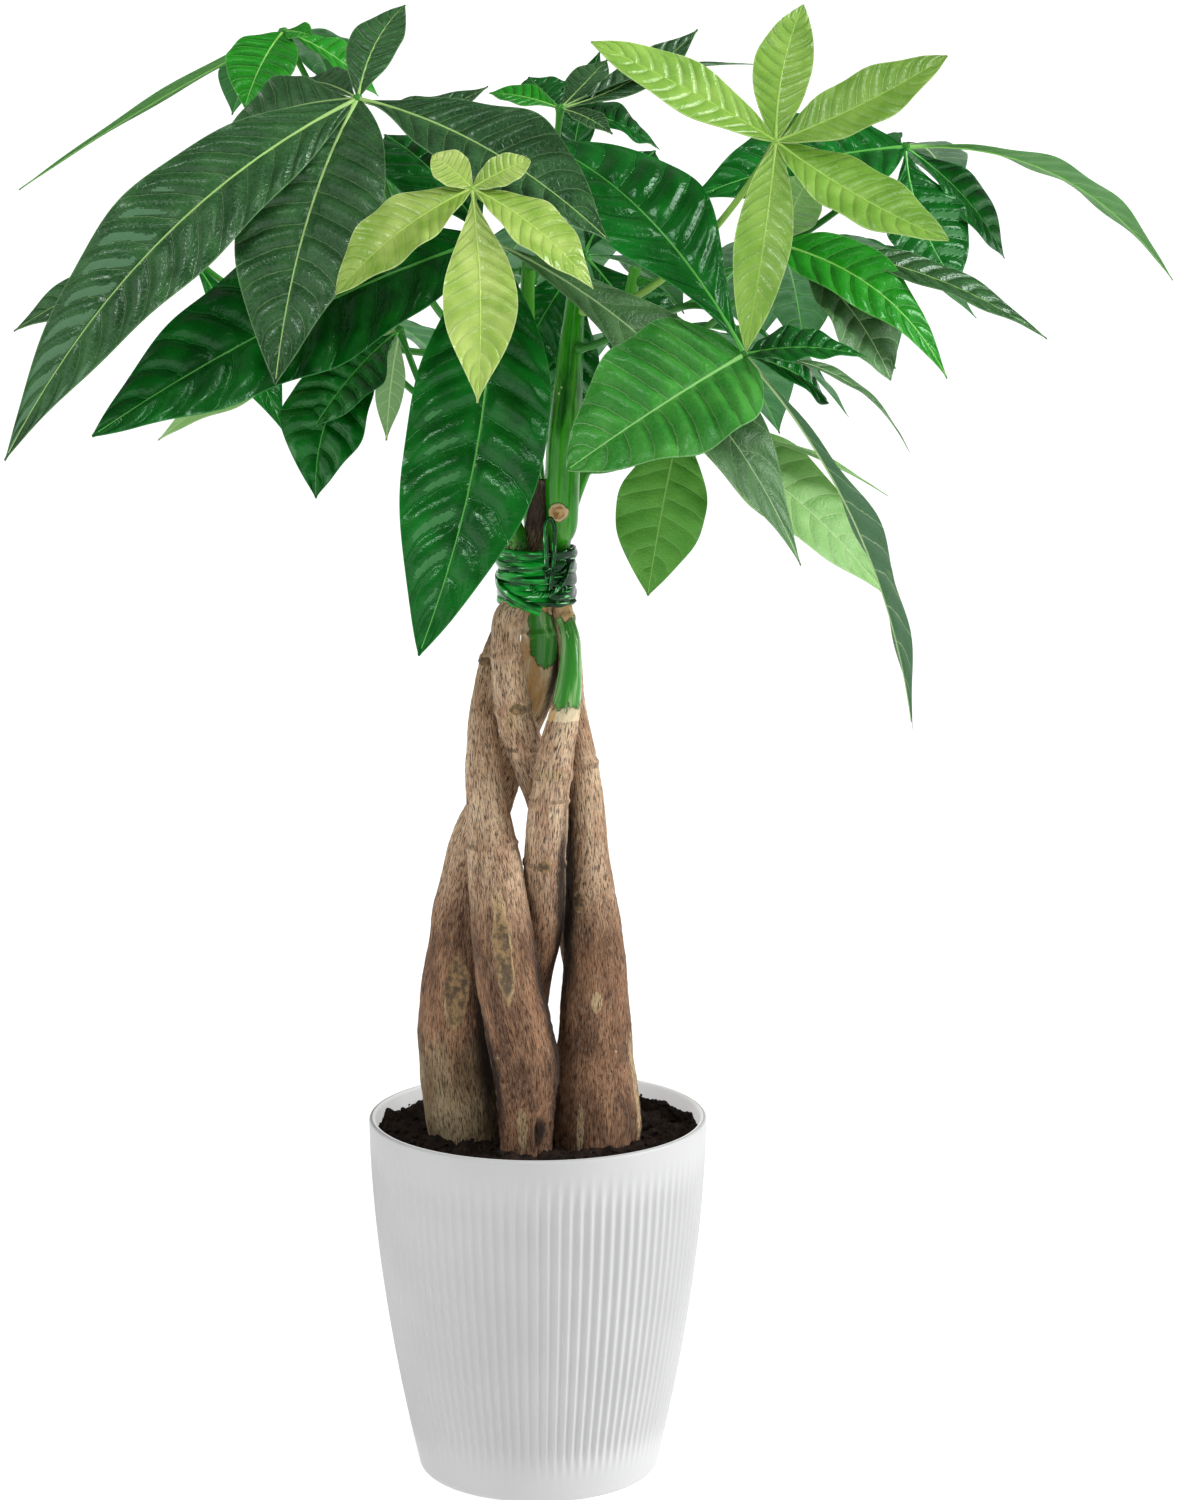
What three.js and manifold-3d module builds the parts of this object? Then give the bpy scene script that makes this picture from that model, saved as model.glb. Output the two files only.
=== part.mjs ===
// A potted money tree: five braided trunks held by a plastic tie, a crown of palm-shaped leaves,
// and a tapered white pot with fine flutes. Millimetres, +Z up, origin at the centre of the pot's flat base,
// front of the plant towards -Y.
import * as THREE from 'three';
import { mergeVertices } from 'three/addons/utils/BufferGeometryUtils.js';
import Module from 'manifold-3d';

const wasm = await Module();
wasm.setup();

// ---------------------------------------------------------------- driving dimensions
// The gap between pieces that touch.
const CLEARANCE = 0.35;

const POT_HEIGHT = 173;
const POT_RIM_RADIUS = 80;
const POT_FOOT_RADIUS = 56.5;
const POT_BULGE = 1.75;
const POT_WALL = 3;
const POT_FLOOR = 3.5;
const POT_EDGE_ROUND = 4;
const POT_FOOT_ROUND = 1;
const POT_RIM_ROUND = 1;
const FLUTE_COUNT = 96;
const FLUTE_DEPTH = 0.9;
const FLUTE_FOOT = 12;
const FLUTE_HEAD = 165;
const FLUTE_LEVELS = [30, 78, 144];

const SOIL_LEVEL = 166;
// Lumps in the soil: height, radians per millimetre along X and along Y, and a start angle.
const SOIL_WAVES = [[0.8, 0.21, 0.17, 1.3], [0.8, 0.21, -0.17, 1.3], [1.1, 0.09, -0.26, 2]];
const SOIL_SECTORS = 24;
const SOIL_RINGS = [12, 32, 50, 66];

const TRUNK_SIDES = 9;
const TRUNK_RING_SPACING = 32;
// How closely the place of a stalk's seat is found, as a share of the trunk's length.
const SEAT_PRECISION = 0.0005;
// A rod this close to lying along X has its rings laid out from Y instead.
const NEARLY_ALONG_X = 0.3;

const TIE_CENTRE = new THREE.Vector2(0, -2);
const TIE_INNER_RADIUS = 17.3;
const TIE_THICKNESS = 0.9;
const TIE_RIDGE = 0.7;
const TIE_BOTTOM = 419;
const TIE_TOP = 445;
const TIE_WRAPS = 3;
const TIE_SECTORS = 18;
// The twisted strands of the film that stand up in front as a narrow loop.
const TIE_LOOP_X = 6.5;
const TIE_LOOP_HALF_WIDTH = 2;
const TIE_LOOP_TOP = 461;
const TIE_STRAND_RADIUS = 0.9;
const TIE_STRAND_SIDES = 6;
const TIE_LOOP_STEPS = 10;

const BLADE_THICKNESS = 0.8;
const BLADE_FOLD = 0.16;
const BLADE_BASE_HALF_WIDTH = 1.1;
const BLADE_TIP_HALF_WIDTH = 0.5;
const BLADE_STATIONS = [0, 0.18, 0.4, 0.64, 0.86, 1];
const HUB_RADIUS = 3;
const STALK_BASE_RADIUS = 2.1;
const STALK_HUB_RADIUS = 1.5;
const STALK_SIDES = 5;
const STALK_STEPS = 6;
// Shares of the stalk's reach: its straight start, and where it bends and how far it sags there.
const STALK_START = 0.2;
const STALK_BEND = 0.35;
const STALK_SAG = 0.2;

// ---------------------------------------------------------------- colours of the finishes
const finish = (color, roughness) => new THREE.MeshStandardMaterial({ color, roughness, metalness: 0 });
const POT_WHITE = '#e9eaec';
const SOIL_BROWN = '#241a14';
const BARK_BROWN = '#6f5a46';
const TIE_GREEN = '#0d7a2c';
const LEAF_COLOURS = { dark: '#145a32', bright: '#2c8c3c', lime: '#9ccf45', pale: '#4c9a4e' };

// ---------------------------------------------------------------- solids and meshes
const vec = (x, y, z) => new THREE.Vector3(x, y, z);

function geometryOf(points, triangles) {
  const geometry = new THREE.BufferGeometry();
  const positions = points.flatMap((point) => point.toArray());
  geometry.setAttribute('position', new THREE.Float32BufferAttribute(positions, 3));
  geometry.setIndex(triangles.flat());
  return geometry;
}

function solidOf(geometry) {
  const bare = geometry.clone();
  bare.deleteAttribute('normal');
  bare.deleteAttribute('uv');
  const merged = mergeVertices(bare);
  return new wasm.Manifold(new wasm.Mesh({
    numProp: 3,
    vertProperties: new Float32Array(merged.attributes.position.array),
    triVerts: new Uint32Array(merged.index.array),
  }));
}

function geometryFrom(solid) {
  const { numProp, vertProperties, triVerts } = solid.getMesh();
  const geometry = new THREE.BufferGeometry();
  const positions = new THREE.InterleavedBuffer(vertProperties, numProp);
  geometry.setAttribute('position', new THREE.InterleavedBufferAttribute(positions, 3, 0));
  geometry.setIndex(new THREE.BufferAttribute(triVerts, 1));
  return geometry;
}

function meshOf(name, geometry, material) {
  geometry.computeVertexNormals();
  const mesh = new THREE.Mesh(geometry, material);
  mesh.name = name;
  return mesh;
}

// A closed skin over rings of points. Each ring runs anticlockwise seen from the end of the row.
function loft(rings) {
  const sides = rings[0].length;
  const triangles = [];
  for (let ring = 0; ring < rings.length - 1; ring += 1) {
    for (let side = 0; side < sides; side += 1) {
      const next = (side + 1) % sides;
      const here = ring * sides;
      const above = here + sides;
      triangles.push([here + side, here + next, above + next]);
      triangles.push([here + side, above + next, above + side]);
    }
  }
  const last = (rings.length - 1) * sides;
  for (let side = 1; side < sides - 1; side += 1) {
    triangles.push([0, side + 1, side]);
    triangles.push([last, last + side, last + side + 1]);
  }
  return geometryOf(rings.flat(), triangles);
}

// One ring of a round rod, square to the rod's own direction. from is the side that its points start on.
function rodRing(centre, along, radius, sides, from = vec(1, 0, 0)) {
  const sideways = from.clone().addScaledVector(along, -along.dot(from));
  if (sideways.length() < NEARLY_ALONG_X) sideways.set(0, 1, 0).addScaledVector(along, -along.y);
  sideways.normalize();
  const across = along.clone().cross(sideways);
  const ring = [];
  for (let side = 0; side < sides; side += 1) {
    const turn = (2 * Math.PI * side) / sides;
    ring.push(centre.clone()
      .addScaledVector(sideways, radius * Math.cos(turn))
      .addScaledVector(across, radius * Math.sin(turn)));
  }
  return ring;
}

// ---------------------------------------------------------------- pot
const potRadius = (z) => {
  const taper = 1 - (1 - z / POT_HEIGHT) ** POT_BULGE;
  return POT_FOOT_RADIUS + (POT_RIM_RADIUS - POT_FOOT_RADIUS) * taper;
};

const potInside = (z) => potRadius(z) - POT_WALL;

function potRing(radius, z, count, fluteDepth) {
  const ring = [];
  for (let step = 0; step < count; step += 1) {
    const turn = (2 * Math.PI * step) / count;
    const reach = radius - (step % 2 === 1 ? fluteDepth : 0);
    ring.push(vec(reach * Math.cos(turn), reach * Math.sin(turn), z));
  }
  return ring;
}

// Skins two rings of one centre line, where either may have twice as many points as the other.
function stitch(triangles, lower, lowerStart, upper, upperStart) {
  const count = Math.min(lower.length, upper.length);
  const lowerStep = lower.length / count;
  const upperStep = upper.length / count;
  for (let step = 0; step < count; step += 1) {
    const low = (offset) => lowerStart + ((step * lowerStep + offset) % lower.length);
    const high = (offset) => upperStart + ((step * upperStep + offset) % upper.length);
    if (upperStep === 2) {
      triangles.push([low(0), high(1), high(0)], [low(0), low(1), high(1)], [low(1), high(2), high(1)]);
    } else if (lowerStep === 2) {
      triangles.push([low(0), low(1), high(0)], [low(1), high(1), high(0)], [low(1), low(2), high(1)]);
    } else {
      triangles.push([low(0), low(1), high(1)], [low(0), high(1), high(0)]);
    }
  }
}

function pot() {
  const plain = (radius, z) => potRing(radius, z, FLUTE_COUNT, 0);
  const inside = (z) => potRing(potInside(z), z, FLUTE_COUNT / 2, 0);
  const insideLevels = [POT_FLOOR, ...FLUTE_LEVELS, SOIL_LEVEL].reverse();
  const rings = [
    plain(POT_FOOT_RADIUS - POT_EDGE_ROUND, 0),
    plain(potRadius(POT_FOOT_ROUND) - POT_FOOT_ROUND, POT_FOOT_ROUND),
    plain(potRadius(FLUTE_FOOT), FLUTE_FOOT),
    ...FLUTE_LEVELS.map((z) => potRing(potRadius(z), z, 2 * FLUTE_COUNT, FLUTE_DEPTH)),
    plain(potRadius(FLUTE_HEAD), FLUTE_HEAD),
    plain(POT_RIM_RADIUS, POT_HEIGHT - POT_RIM_ROUND),
    plain(POT_RIM_RADIUS - POT_RIM_ROUND, POT_HEIGHT),
    plain(POT_RIM_RADIUS - POT_WALL + POT_RIM_ROUND, POT_HEIGHT),
    plain(POT_RIM_RADIUS - POT_WALL, POT_HEIGHT - POT_RIM_ROUND),
    ...insideLevels.map(inside),
  ];
  const points = [vec(0, 0, 0), ...rings.flat(), vec(0, 0, POT_FLOOR)];
  const triangles = [];
  let start = 1;
  for (let step = 0; step < FLUTE_COUNT; step += 1) {
    triangles.push([0, start + ((step + 1) % FLUTE_COUNT), start + step]);
  }
  for (let index = 0; index < rings.length - 1; index += 1) {
    stitch(triangles, rings[index], start, rings[index + 1], start + rings[index].length);
    start += rings[index].length;
  }
  const centre = points.length - 1;
  const floorCount = FLUTE_COUNT / 2;
  for (let step = 0; step < floorCount; step += 1) {
    triangles.push([centre, start + step, start + ((step + 1) % floorCount)]);
  }
  return geometryOf(points, triangles);
}

// ---------------------------------------------------------------- trunks
// Each trunk is one piece from its root end in the soil, through the braid and the tie, to the top of its
// green shoot in the crown. Rows are x, y, z and radius along its middle.
const TRUNKS = {
  trunk_front_left: [
    [-4, -38, 120, 8], [-5, -38, 171, 10.8], [-5, -38, 205, 14.2], [-9, -37, 228, 14.6],
    [-13, -36, 247, 14.4], [-18, -29, 290, 12.4], [-23, -20, 330, 9.2], [-25, -7, 362, 6.6],
    [-22, 3, 391, 4], [-12.5, 2.5, 417, 3], [-12.5, 2.5, 447, 3], [-3, -2, 462, 3], [0, -5, 477, 2.6],
  ],
  trunk_left: [
    [-33, -8, 120, 14], [-34, -8, 163, 17.2], [-38, -6, 213, 18], [-34, -2, 269, 14.8], [-28, 1, 307, 11.2],
    [-19, 6, 329, 9], [-10, 10, 352, 8.4], [-1, 9.5, 376, 8.6], [2, 8.5, 398, 8.4], [0.5, 7.6, 417, 6.6],
    [0.5, 7.6, 447, 6.2], [-3, 18, 490, 5.2], [-5, 32, 530, 4.2], [-4, 40, 575, 3],
  ],
  trunk_right: [
    [25, -17, 120, 17], [27, -16, 170, 21], [27, -14, 212, 17.6], [27, -12, 243, 15.4], [26, -9, 266, 13.6],
    [24, -6, 288, 11.2], [22.5, -4, 323, 8.8], [20, -2, 346, 7.6], [16, 1, 373, 6], [15, 4, 396, 5],
    [11, 5.5, 417, 3.6], [11, 5.5, 447, 3.6], [25, 14, 490, 4.4], [38, 22, 530, 4], [46, 24, 572, 2.8],
  ],
  trunk_center: [
    [-14, 27, 120, 9], [-13, 24, 160, 11.4], [-9, 8, 198, 10.4], [-4, -6, 236, 9.8], [0, -14, 270, 9.7],
    [3, -22, 302, 9.6], [6, -26, 330, 9.2], [9, -25, 352, 8.4], [14, -21, 376, 6.6], [16, -14, 400, 4.8],
    [12.6, -5.5, 417, 3.8], [12.6, -5.5, 447, 3.8], [13, -8, 460, 7.6], [13, -9, 490, 7.8], [16, -8, 535, 6],
    [20, -8, 578, 3.4],
  ],
  trunk_back: [
    [33, 43, 120, 11], [32, 40, 155, 14], [30, 36, 195, 13.2], [22, 27, 247, 11.4], [13, 15, 293, 9.6],
    [4, 3, 324, 8.8], [-4, -8, 348, 8.8], [-11, -15, 373, 8.4], [-14, -14, 398, 6.9], [-9, -8.8, 417, 5.6],
    [-9, -8.8, 447, 5.4], [-15, -8, 465, 5.2], [-21, -6, 500, 5], [-26, -4, 535, 4.2], [-28, -4, 575, 3],
  ],
};

// The middle line of a trunk and its radius. stops are the places along it where the bark has a ring of
// points.
function trunkLine(rows) {
  const middle = new THREE.CatmullRomCurve3(rows.map(([x, y, z]) => vec(x, y, z)), false, 'catmullrom', 0.5);
  const girth = new THREE.CatmullRomCurve3(rows.map((row) => vec(row[3], 0, 0)), false, 'catmullrom', 0.5);
  const spans = rows.length - 1;
  const stops = [0];
  for (let span = 0; span < spans; span += 1) {
    const [from, to] = [middle.points[span], middle.points[span + 1]];
    const parts = Math.ceil(from.distanceTo(to) / TRUNK_RING_SPACING);
    for (let part = 1; part <= parts; part += 1) stops.push((span + part / parts) / spans);
  }
  return {
    at: (t) => middle.getPoint(t),
    along: (t) => middle.getTangent(t),
    radius: (t) => girth.getPoint(t).x,
    stops,
  };
}

function trunkAtHeight(line, height) {
  let low = 0;
  let high = 1;
  while (high - low > SEAT_PRECISION) {
    const middle = (low + high) / 2;
    if (line.at(middle).z < height) low = middle;
    else high = middle;
  }
  return { centre: line.at(low), along: line.along(low), radius: line.radius(low) };
}

function trunk(line, growth) {
  const rings = line.stops.map((t) => (
    rodRing(line.at(t), line.along(t), line.radius(t) + growth, TRUNK_SIDES)
  ));
  rings[0].forEach((point) => {
    point.z -= growth;
  });
  return loft(rings);
}

// ---------------------------------------------------------------- soil
// The soil fills the pot to a lumpy top. The trunks stand in plain holes in it.
const soilHeight = (x, y) => SOIL_WAVES.reduce((level, [height, alongX, alongY, start]) => (
  level + height * Math.sin(x * alongX + y * alongY + start)
), SOIL_LEVEL);

function soil(trunkLines) {
  const sector = (radius, step) => {
    const turn = (2 * Math.PI * step) / SOIL_SECTORS;
    return [radius * Math.cos(turn), radius * Math.sin(turn)];
  };
  const ringAt = (radius, height) => Array.from({ length: SOIL_SECTORS }, (_, step) => {
    const [x, y] = sector(radius, step);
    return vec(x, y, height(x, y));
  });
  const wallLevels = [POT_FLOOR, ...FLUTE_LEVELS];
  const inside = (z) => potInside(z) - CLEARANCE;
  const rings = wallLevels.map((z) => ringAt(inside(z), () => Math.max(z, POT_FLOOR + CLEARANCE)));
  rings.push(ringAt(inside(SOIL_LEVEL), soilHeight));
  [...SOIL_RINGS].reverse().forEach((radius) => rings.push(ringAt(radius, soilHeight)));
  let solid = solidOf(loft(rings));
  trunkLines.forEach((line) => {
    solid = solid.subtract(solidOf(trunk(line, CLEARANCE)));
  });
  return geometryFrom(solid);
}

// ---------------------------------------------------------------- tie
// A shiny plastic film wound round the stems above the braid, pulled tight in a few wraps. Its twisted
// strands stand up in front as a loop.
function tieLoop() {
  const front = TIE_CENTRE.y - TIE_INNER_RADIUS - TIE_THICKNESS;
  const foot = (TIE_BOTTOM + TIE_TOP) / 2;
  const shoulder = TIE_LOOP_TOP - TIE_LOOP_HALF_WIDTH;
  const strand = new THREE.CatmullRomCurve3([
    vec(TIE_LOOP_X - TIE_LOOP_HALF_WIDTH, front, foot),
    vec(TIE_LOOP_X - TIE_LOOP_HALF_WIDTH, front - TIE_STRAND_RADIUS, TIE_TOP),
    vec(TIE_LOOP_X - TIE_LOOP_HALF_WIDTH, front - TIE_STRAND_RADIUS, shoulder),
    vec(TIE_LOOP_X, front - TIE_STRAND_RADIUS, TIE_LOOP_TOP),
    vec(TIE_LOOP_X + TIE_LOOP_HALF_WIDTH, front - TIE_STRAND_RADIUS, shoulder),
    vec(TIE_LOOP_X + TIE_LOOP_HALF_WIDTH, front - TIE_STRAND_RADIUS, TIE_TOP),
    vec(TIE_LOOP_X + TIE_LOOP_HALF_WIDTH, front, foot),
  ]);
  const rings = [];
  for (let step = 0; step <= TIE_LOOP_STEPS; step += 1) {
    const t = step / TIE_LOOP_STEPS;
    const [centre, along] = [strand.getPoint(t), strand.getTangent(t)];
    rings.push(rodRing(centre, along, TIE_STRAND_RADIUS, TIE_STRAND_SIDES, vec(0, -1, 0)));
  }
  return loft(rings);
}

function tie() {
  const outer = [];
  const wrapHeight = (TIE_TOP - TIE_BOTTOM) / TIE_WRAPS;
  for (let wrap = 0; wrap < TIE_WRAPS; wrap += 1) {
    const foot = TIE_BOTTOM + wrap * wrapHeight;
    outer.push(new THREE.Vector2(TIE_INNER_RADIUS + TIE_THICKNESS, foot));
    outer.push(new THREE.Vector2(TIE_INNER_RADIUS + TIE_THICKNESS + TIE_RIDGE, foot + wrapHeight / 2));
  }
  outer.push(new THREE.Vector2(TIE_INNER_RADIUS + TIE_THICKNESS, TIE_TOP));
  const profile = [
    new THREE.Vector2(TIE_INNER_RADIUS, TIE_BOTTOM),
    ...outer,
    new THREE.Vector2(TIE_INNER_RADIUS, TIE_TOP),
    new THREE.Vector2(TIE_INNER_RADIUS, TIE_BOTTOM),
  ];
  const band = new THREE.LatheGeometry(profile, TIE_SECTORS);
  band.rotateX(Math.PI / 2);
  band.translate(TIE_CENTRE.x, TIE_CENTRE.y, 0);
  return geometryFrom(solidOf(band).add(solidOf(tieLoop())));
}

// ---------------------------------------------------------------- leaves
// A leaf is a stalk, a hub and a fan of leaflets in one piece. stem names the trunk that it grows from and
// height says where. via bends the stalk. A leaflet row is its tip x, y, z, its width, how far its middle
// arches above and bows beside a straight line, how far its upper face leans towards +X and +Y and, where it
// isn't the usual shape, where along it it is widest and how drawn-out its two ends are.
const LEAVES = {
  leaf_upper_left: {
    stem: 'trunk_back', height: 545, colour: 'dark', hub: [-78, -45, 650],
    leaflets: [
      [-59, 5, 691, 24, 3, -3, 0, -0.6, 0.5, 1], [-231, -95, 495, 52, 28, 2, -0.2, -1.6, 0.44, 1.05],
      [-110, -125, 531, 64, 12, 2, 0, -0.3, 0.44, 0.95], [33, -91, 590, 58, 12, 0, 0.2, -0.8],
      [-143, 0, 631, 40, 6, 0, -0.3, -1], [-112, 28, 655, 28, 4, 0, 0, -0.8],
      [-21, -20, 655, 26, -8, 0, 0, -0.3],
    ],
  },
  leaf_front_new: {
    stem: 'trunk_center', height: 574, colour: 'lime', hub: [-26, -105, 613], via: [-2, -80, 590],
    leaflets: [
      [-84, -120, 569, 35, 6, 0, -0.2, -0.8, 0.5, 1], [-23, -145, 525, 32, 6, -2, 0, 0],
      [26, -115, 571, 29, 6, 0, 0.2, -0.8, 0.5, 1.1], [-43, -100, 627, 17, 2, 0, 0, -1.5, 0.56, 0.7],
      [-1, -100, 625, 15, 2, 0, 0, -1.5, 0.56, 0.7],
    ],
  },
  leaf_right_new: {
    stem: 'trunk_center', height: 555, colour: 'lime', hub: [106, -70, 632],
    leaflets: [
      [25, -75, 675, 29, 0, 2, 0, -1, 0.5, 1], [119, -40, 691, 26, 3, -3, 0, -1, 0.5, 1],
      [180, -75, 669, 31, -1, 2, 0, -1, 0.5, 1], [179, -105, 591, 34, -2, 2, 0.2, -1, 0.5, 1],
      [92, -110, 544, 25, 6, -2, 0, -0.3, 0.5, 1],
    ],
  },
  leaf_front_right: {
    stem: 'trunk_center', height: 538, colour: 'dark', hub: [92, -95, 541], via: [82, -24, 584],
    leaflets: [
      [15, -125, 494, 76, 6, -3, -0.2, -1, 0.35, 0.75], [0, -15, 631, 62, 18, 0, 0, -0.5],
      [145, -95, 540, 32, 4, 0, 0, -0.4, 0.4, 1.25], [164, -135, 383, 56, 14, 0, 0.4, 0.3, 0.6, 1.25],
      [130, -50, 517, 34, 5, 2, 0, -1], [167, -60, 495, 14, 13, 0, 0, -0.4],
    ],
  },
  leaf_front: {
    stem: 'trunk_back', height: 505, colour: 'dark', hub: [-21, -55, 589],
    leaflets: [
      [-49, -135, 415, 64, 14, -15, 0, -0.2, 0.5, 0.9], [-192, -100, 506, 70, 12, 0, -0.1, -1.2, 0.46, 0.9],
      [119, -60, 444, 50, 14, -14, 0.2, -0.7], [-69, 5, 633, 50, 6, 0, 0, -0.5],
    ],
  },
  leaf_lower_left: {
    stem: 'trunk_back', height: 480, colour: 'dark', hub: [-62, -10, 545],
    leaflets: [
      [-99, -40, 472, 46, 8, 9, 0, -0.4, 0.6, 1.1], [-100, -30, 503, 56, 6, -4, 0, -0.2, 0.6, 1.1],
      [-173, -10, 495, 34, 10, 0, 0, -0.6], [-70, 20, 492, 14, 4, 0, 0, 0],
    ],
  },
  leaf_far_left: {
    stem: 'trunk_left', height: 530, colour: 'dark', hub: [-161, 30, 577],
    leaflets: [
      [-245, 40, 541, 28, 5, 0, 0, -0.7], [-218, 90, 544, 30, 8, 0, 0, 0], [-215, 110, 575, 30, 8, 0, 0, 0],
      [-118, 20, 496, 26, 6, 0, 0, -0.6],
    ],
  },
  leaf_top_left: {
    stem: 'trunk_left', height: 549, colour: 'bright', hub: [-118, 55, 679],
    leaflets: [
      [-134, 25, 645, 34, 5, 0, 0, -0.7, 0.5, 0.9], [-104, 45, 677, 14, 1, 0, 0, -0.7],
      [-243, 55, 606, 13, 3, 0, 0, 0.3, 0.3, 1.1], [-146, 95, 640, 30, 6, 0, 0, 0],
      [-75, 70, 649, 30, 4, 0, 0, -0.5], [-100, 140, 650, 34, 10, 0, 0, 0],
    ],
  },
  leaf_top: {
    stem: 'trunk_left', height: 572, colour: 'dark', hub: [11, 30, 644],
    leaflets: [
      [-22, 40, 651, 20, 2, 0, 0, -0.5], [-4, 66, 658, 24, 0, 0, 0, -0.8], [33, 80, 666, 18, 0, 0, 0, -0.8],
      [75, 60, 680, 22, 0, 7, 0, -0.8], [102, 60, 664, 22, 6, 0, 0, 0], [20, 130, 640, 34, 8, 0, 0, 0],
      [35, 15, 633, 14, 2, 0, 0, -0.5], [57, 50, 625, 34, 4, 0, 0, -0.5],
    ],
  },
  leaf_far_right: {
    stem: 'trunk_right', height: 566, colour: 'dark', hub: [169, 15, 627],
    leaflets: [
      [194, 5, 563, 50, 2, 9, 0, -0.3], [294, 20, 566, 34, 20, 0, 0, 0.2],
      [218, 40, 575, 30, 6, 0, 0, -0.8], [70, -20, 605, 56, 6, 0, 0, -0.9, 0.4, 1.1],
      [200, 110, 600, 30, 10, 0, 0, 0], [140, 100, 610, 36, 10, 0, 0, 0],
    ],
  },
  leaf_right: {
    stem: 'trunk_right', height: 530, colour: 'dark', hub: [110, -35, 585],
    leaflets: [
      [159, -50, 526, 50, 6, -2, 0, -0.3, 0.62, 1], [166, -20, 546, 30, 6, 0, 0, 0],
      [185, -40, 526, 36, 16, 0, 0, -0.8, 0.3, 1.1], [232, -20, 542, 26, 10, 0, 0, -0.5],
      [124, -40, 618, 30, 3, 0, 0, -0.8], [125, 35, 530, 34, 8, 0, 0, 0],
    ],
  },
  leaf_lower_right: {
    stem: 'trunk_right', height: 480, colour: 'pale', hub: [66, -20, 504],
    leaflets: [
      [51, -42, 428, 42, 4, 0, 0, -0.5, 0.52, 1], [158, -22, 427, 46, 10, 0, 0, -0.7, 0.46, 1],
      [161, -15, 470, 22, 6, 0, 0, 0], [60, 50, 470, 34, 8, 0, 0, 0],
    ],
  },
  leaf_inner: {
    stem: 'trunk_left', height: 512, colour: 'dark', hub: [22, 62, 575],
    leaflets: [
      [12, 85, 480, 50, 10, 0, 0, -0.4], [62, 66, 510, 44, 8, 0, 0, -0.8],
      [-18, 52, 505, 38, 6, 0, 0, -0.8], [70, 100, 545, 36, 8, 0, 0, 0], [56, 95, 623, 50, 8, 0, 0, -0.8],
    ],
  },
  leaf_back_left: {
    stem: 'trunk_left', height: 569, colour: 'dark', hub: [-75, 120, 610],
    leaflets: [
      [-190, 150, 560, 54, 14, 0, 0, 0], [-140, 215, 540, 56, 14, 0, 0, 0],
      [-70, 235, 560, 54, 14, 0, 0, 0], [-10, 190, 590, 36, 10, 0, 0, 0],
    ],
  },
  leaf_back: {
    stem: 'trunk_left', height: 563, colour: 'dark', hub: [15, 130, 600], via: [10, 90, 604],
    leaflets: [
      [10, 250, 530, 56, 14, 0, 0, 0], [80, 235, 540, 54, 14, 0, 0, 0], [-45, 220, 510, 42, 12, 0, 0, 0],
      [30, 150, 670, 26, 5, 0, 0, 0], [75, 160, 600, 32, 8, 0, 0, 0],
    ],
  },
  leaf_back_right: {
    stem: 'trunk_right', height: 550, colour: 'dark', hub: [105, 105, 580],
    leaflets: [
      [215, 140, 540, 54, 14, 0, 0, 0], [180, 200, 510, 56, 14, 0, 0, 0], [110, 220, 520, 54, 14, 0, 0, 0],
      [150, 90, 640, 28, 5, 0, 0, 0],
    ],
  },
  leaf_low_back_left: {
    stem: 'trunk_left', height: 495, colour: 'dark', hub: [-95, 85, 550],
    leaflets: [
      [-180, 100, 500, 52, 14, 0, 0, 0], [-150, 170, 495, 54, 14, 0, 0, 0],
      [-90, 185, 495, 54, 14, 0, 0, 0], [-35, 140, 500, 34, 10, 0, 0, 0],
    ],
  },
  leaf_low_back_right: {
    stem: 'trunk_right', height: 500, colour: 'dark', hub: [60, 90, 540],
    leaflets: [
      [150, 100, 495, 52, 14, 0, 0, 0], [120, 170, 480, 54, 14, 0, 0, 0], [60, 190, 490, 54, 14, 0, 0, 0],
      [0, 140, 495, 34, 10, 0, 0, 0],
    ],
  },
};

// Half width of a leaflet along its length, 1 at its widest. A higher point draws the foot and the tip out.
const bladeOutline = (t, widest, point) => (
  Math.sin(Math.PI * t ** (Math.log(0.5) / Math.log(widest))) ** point
);

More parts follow.
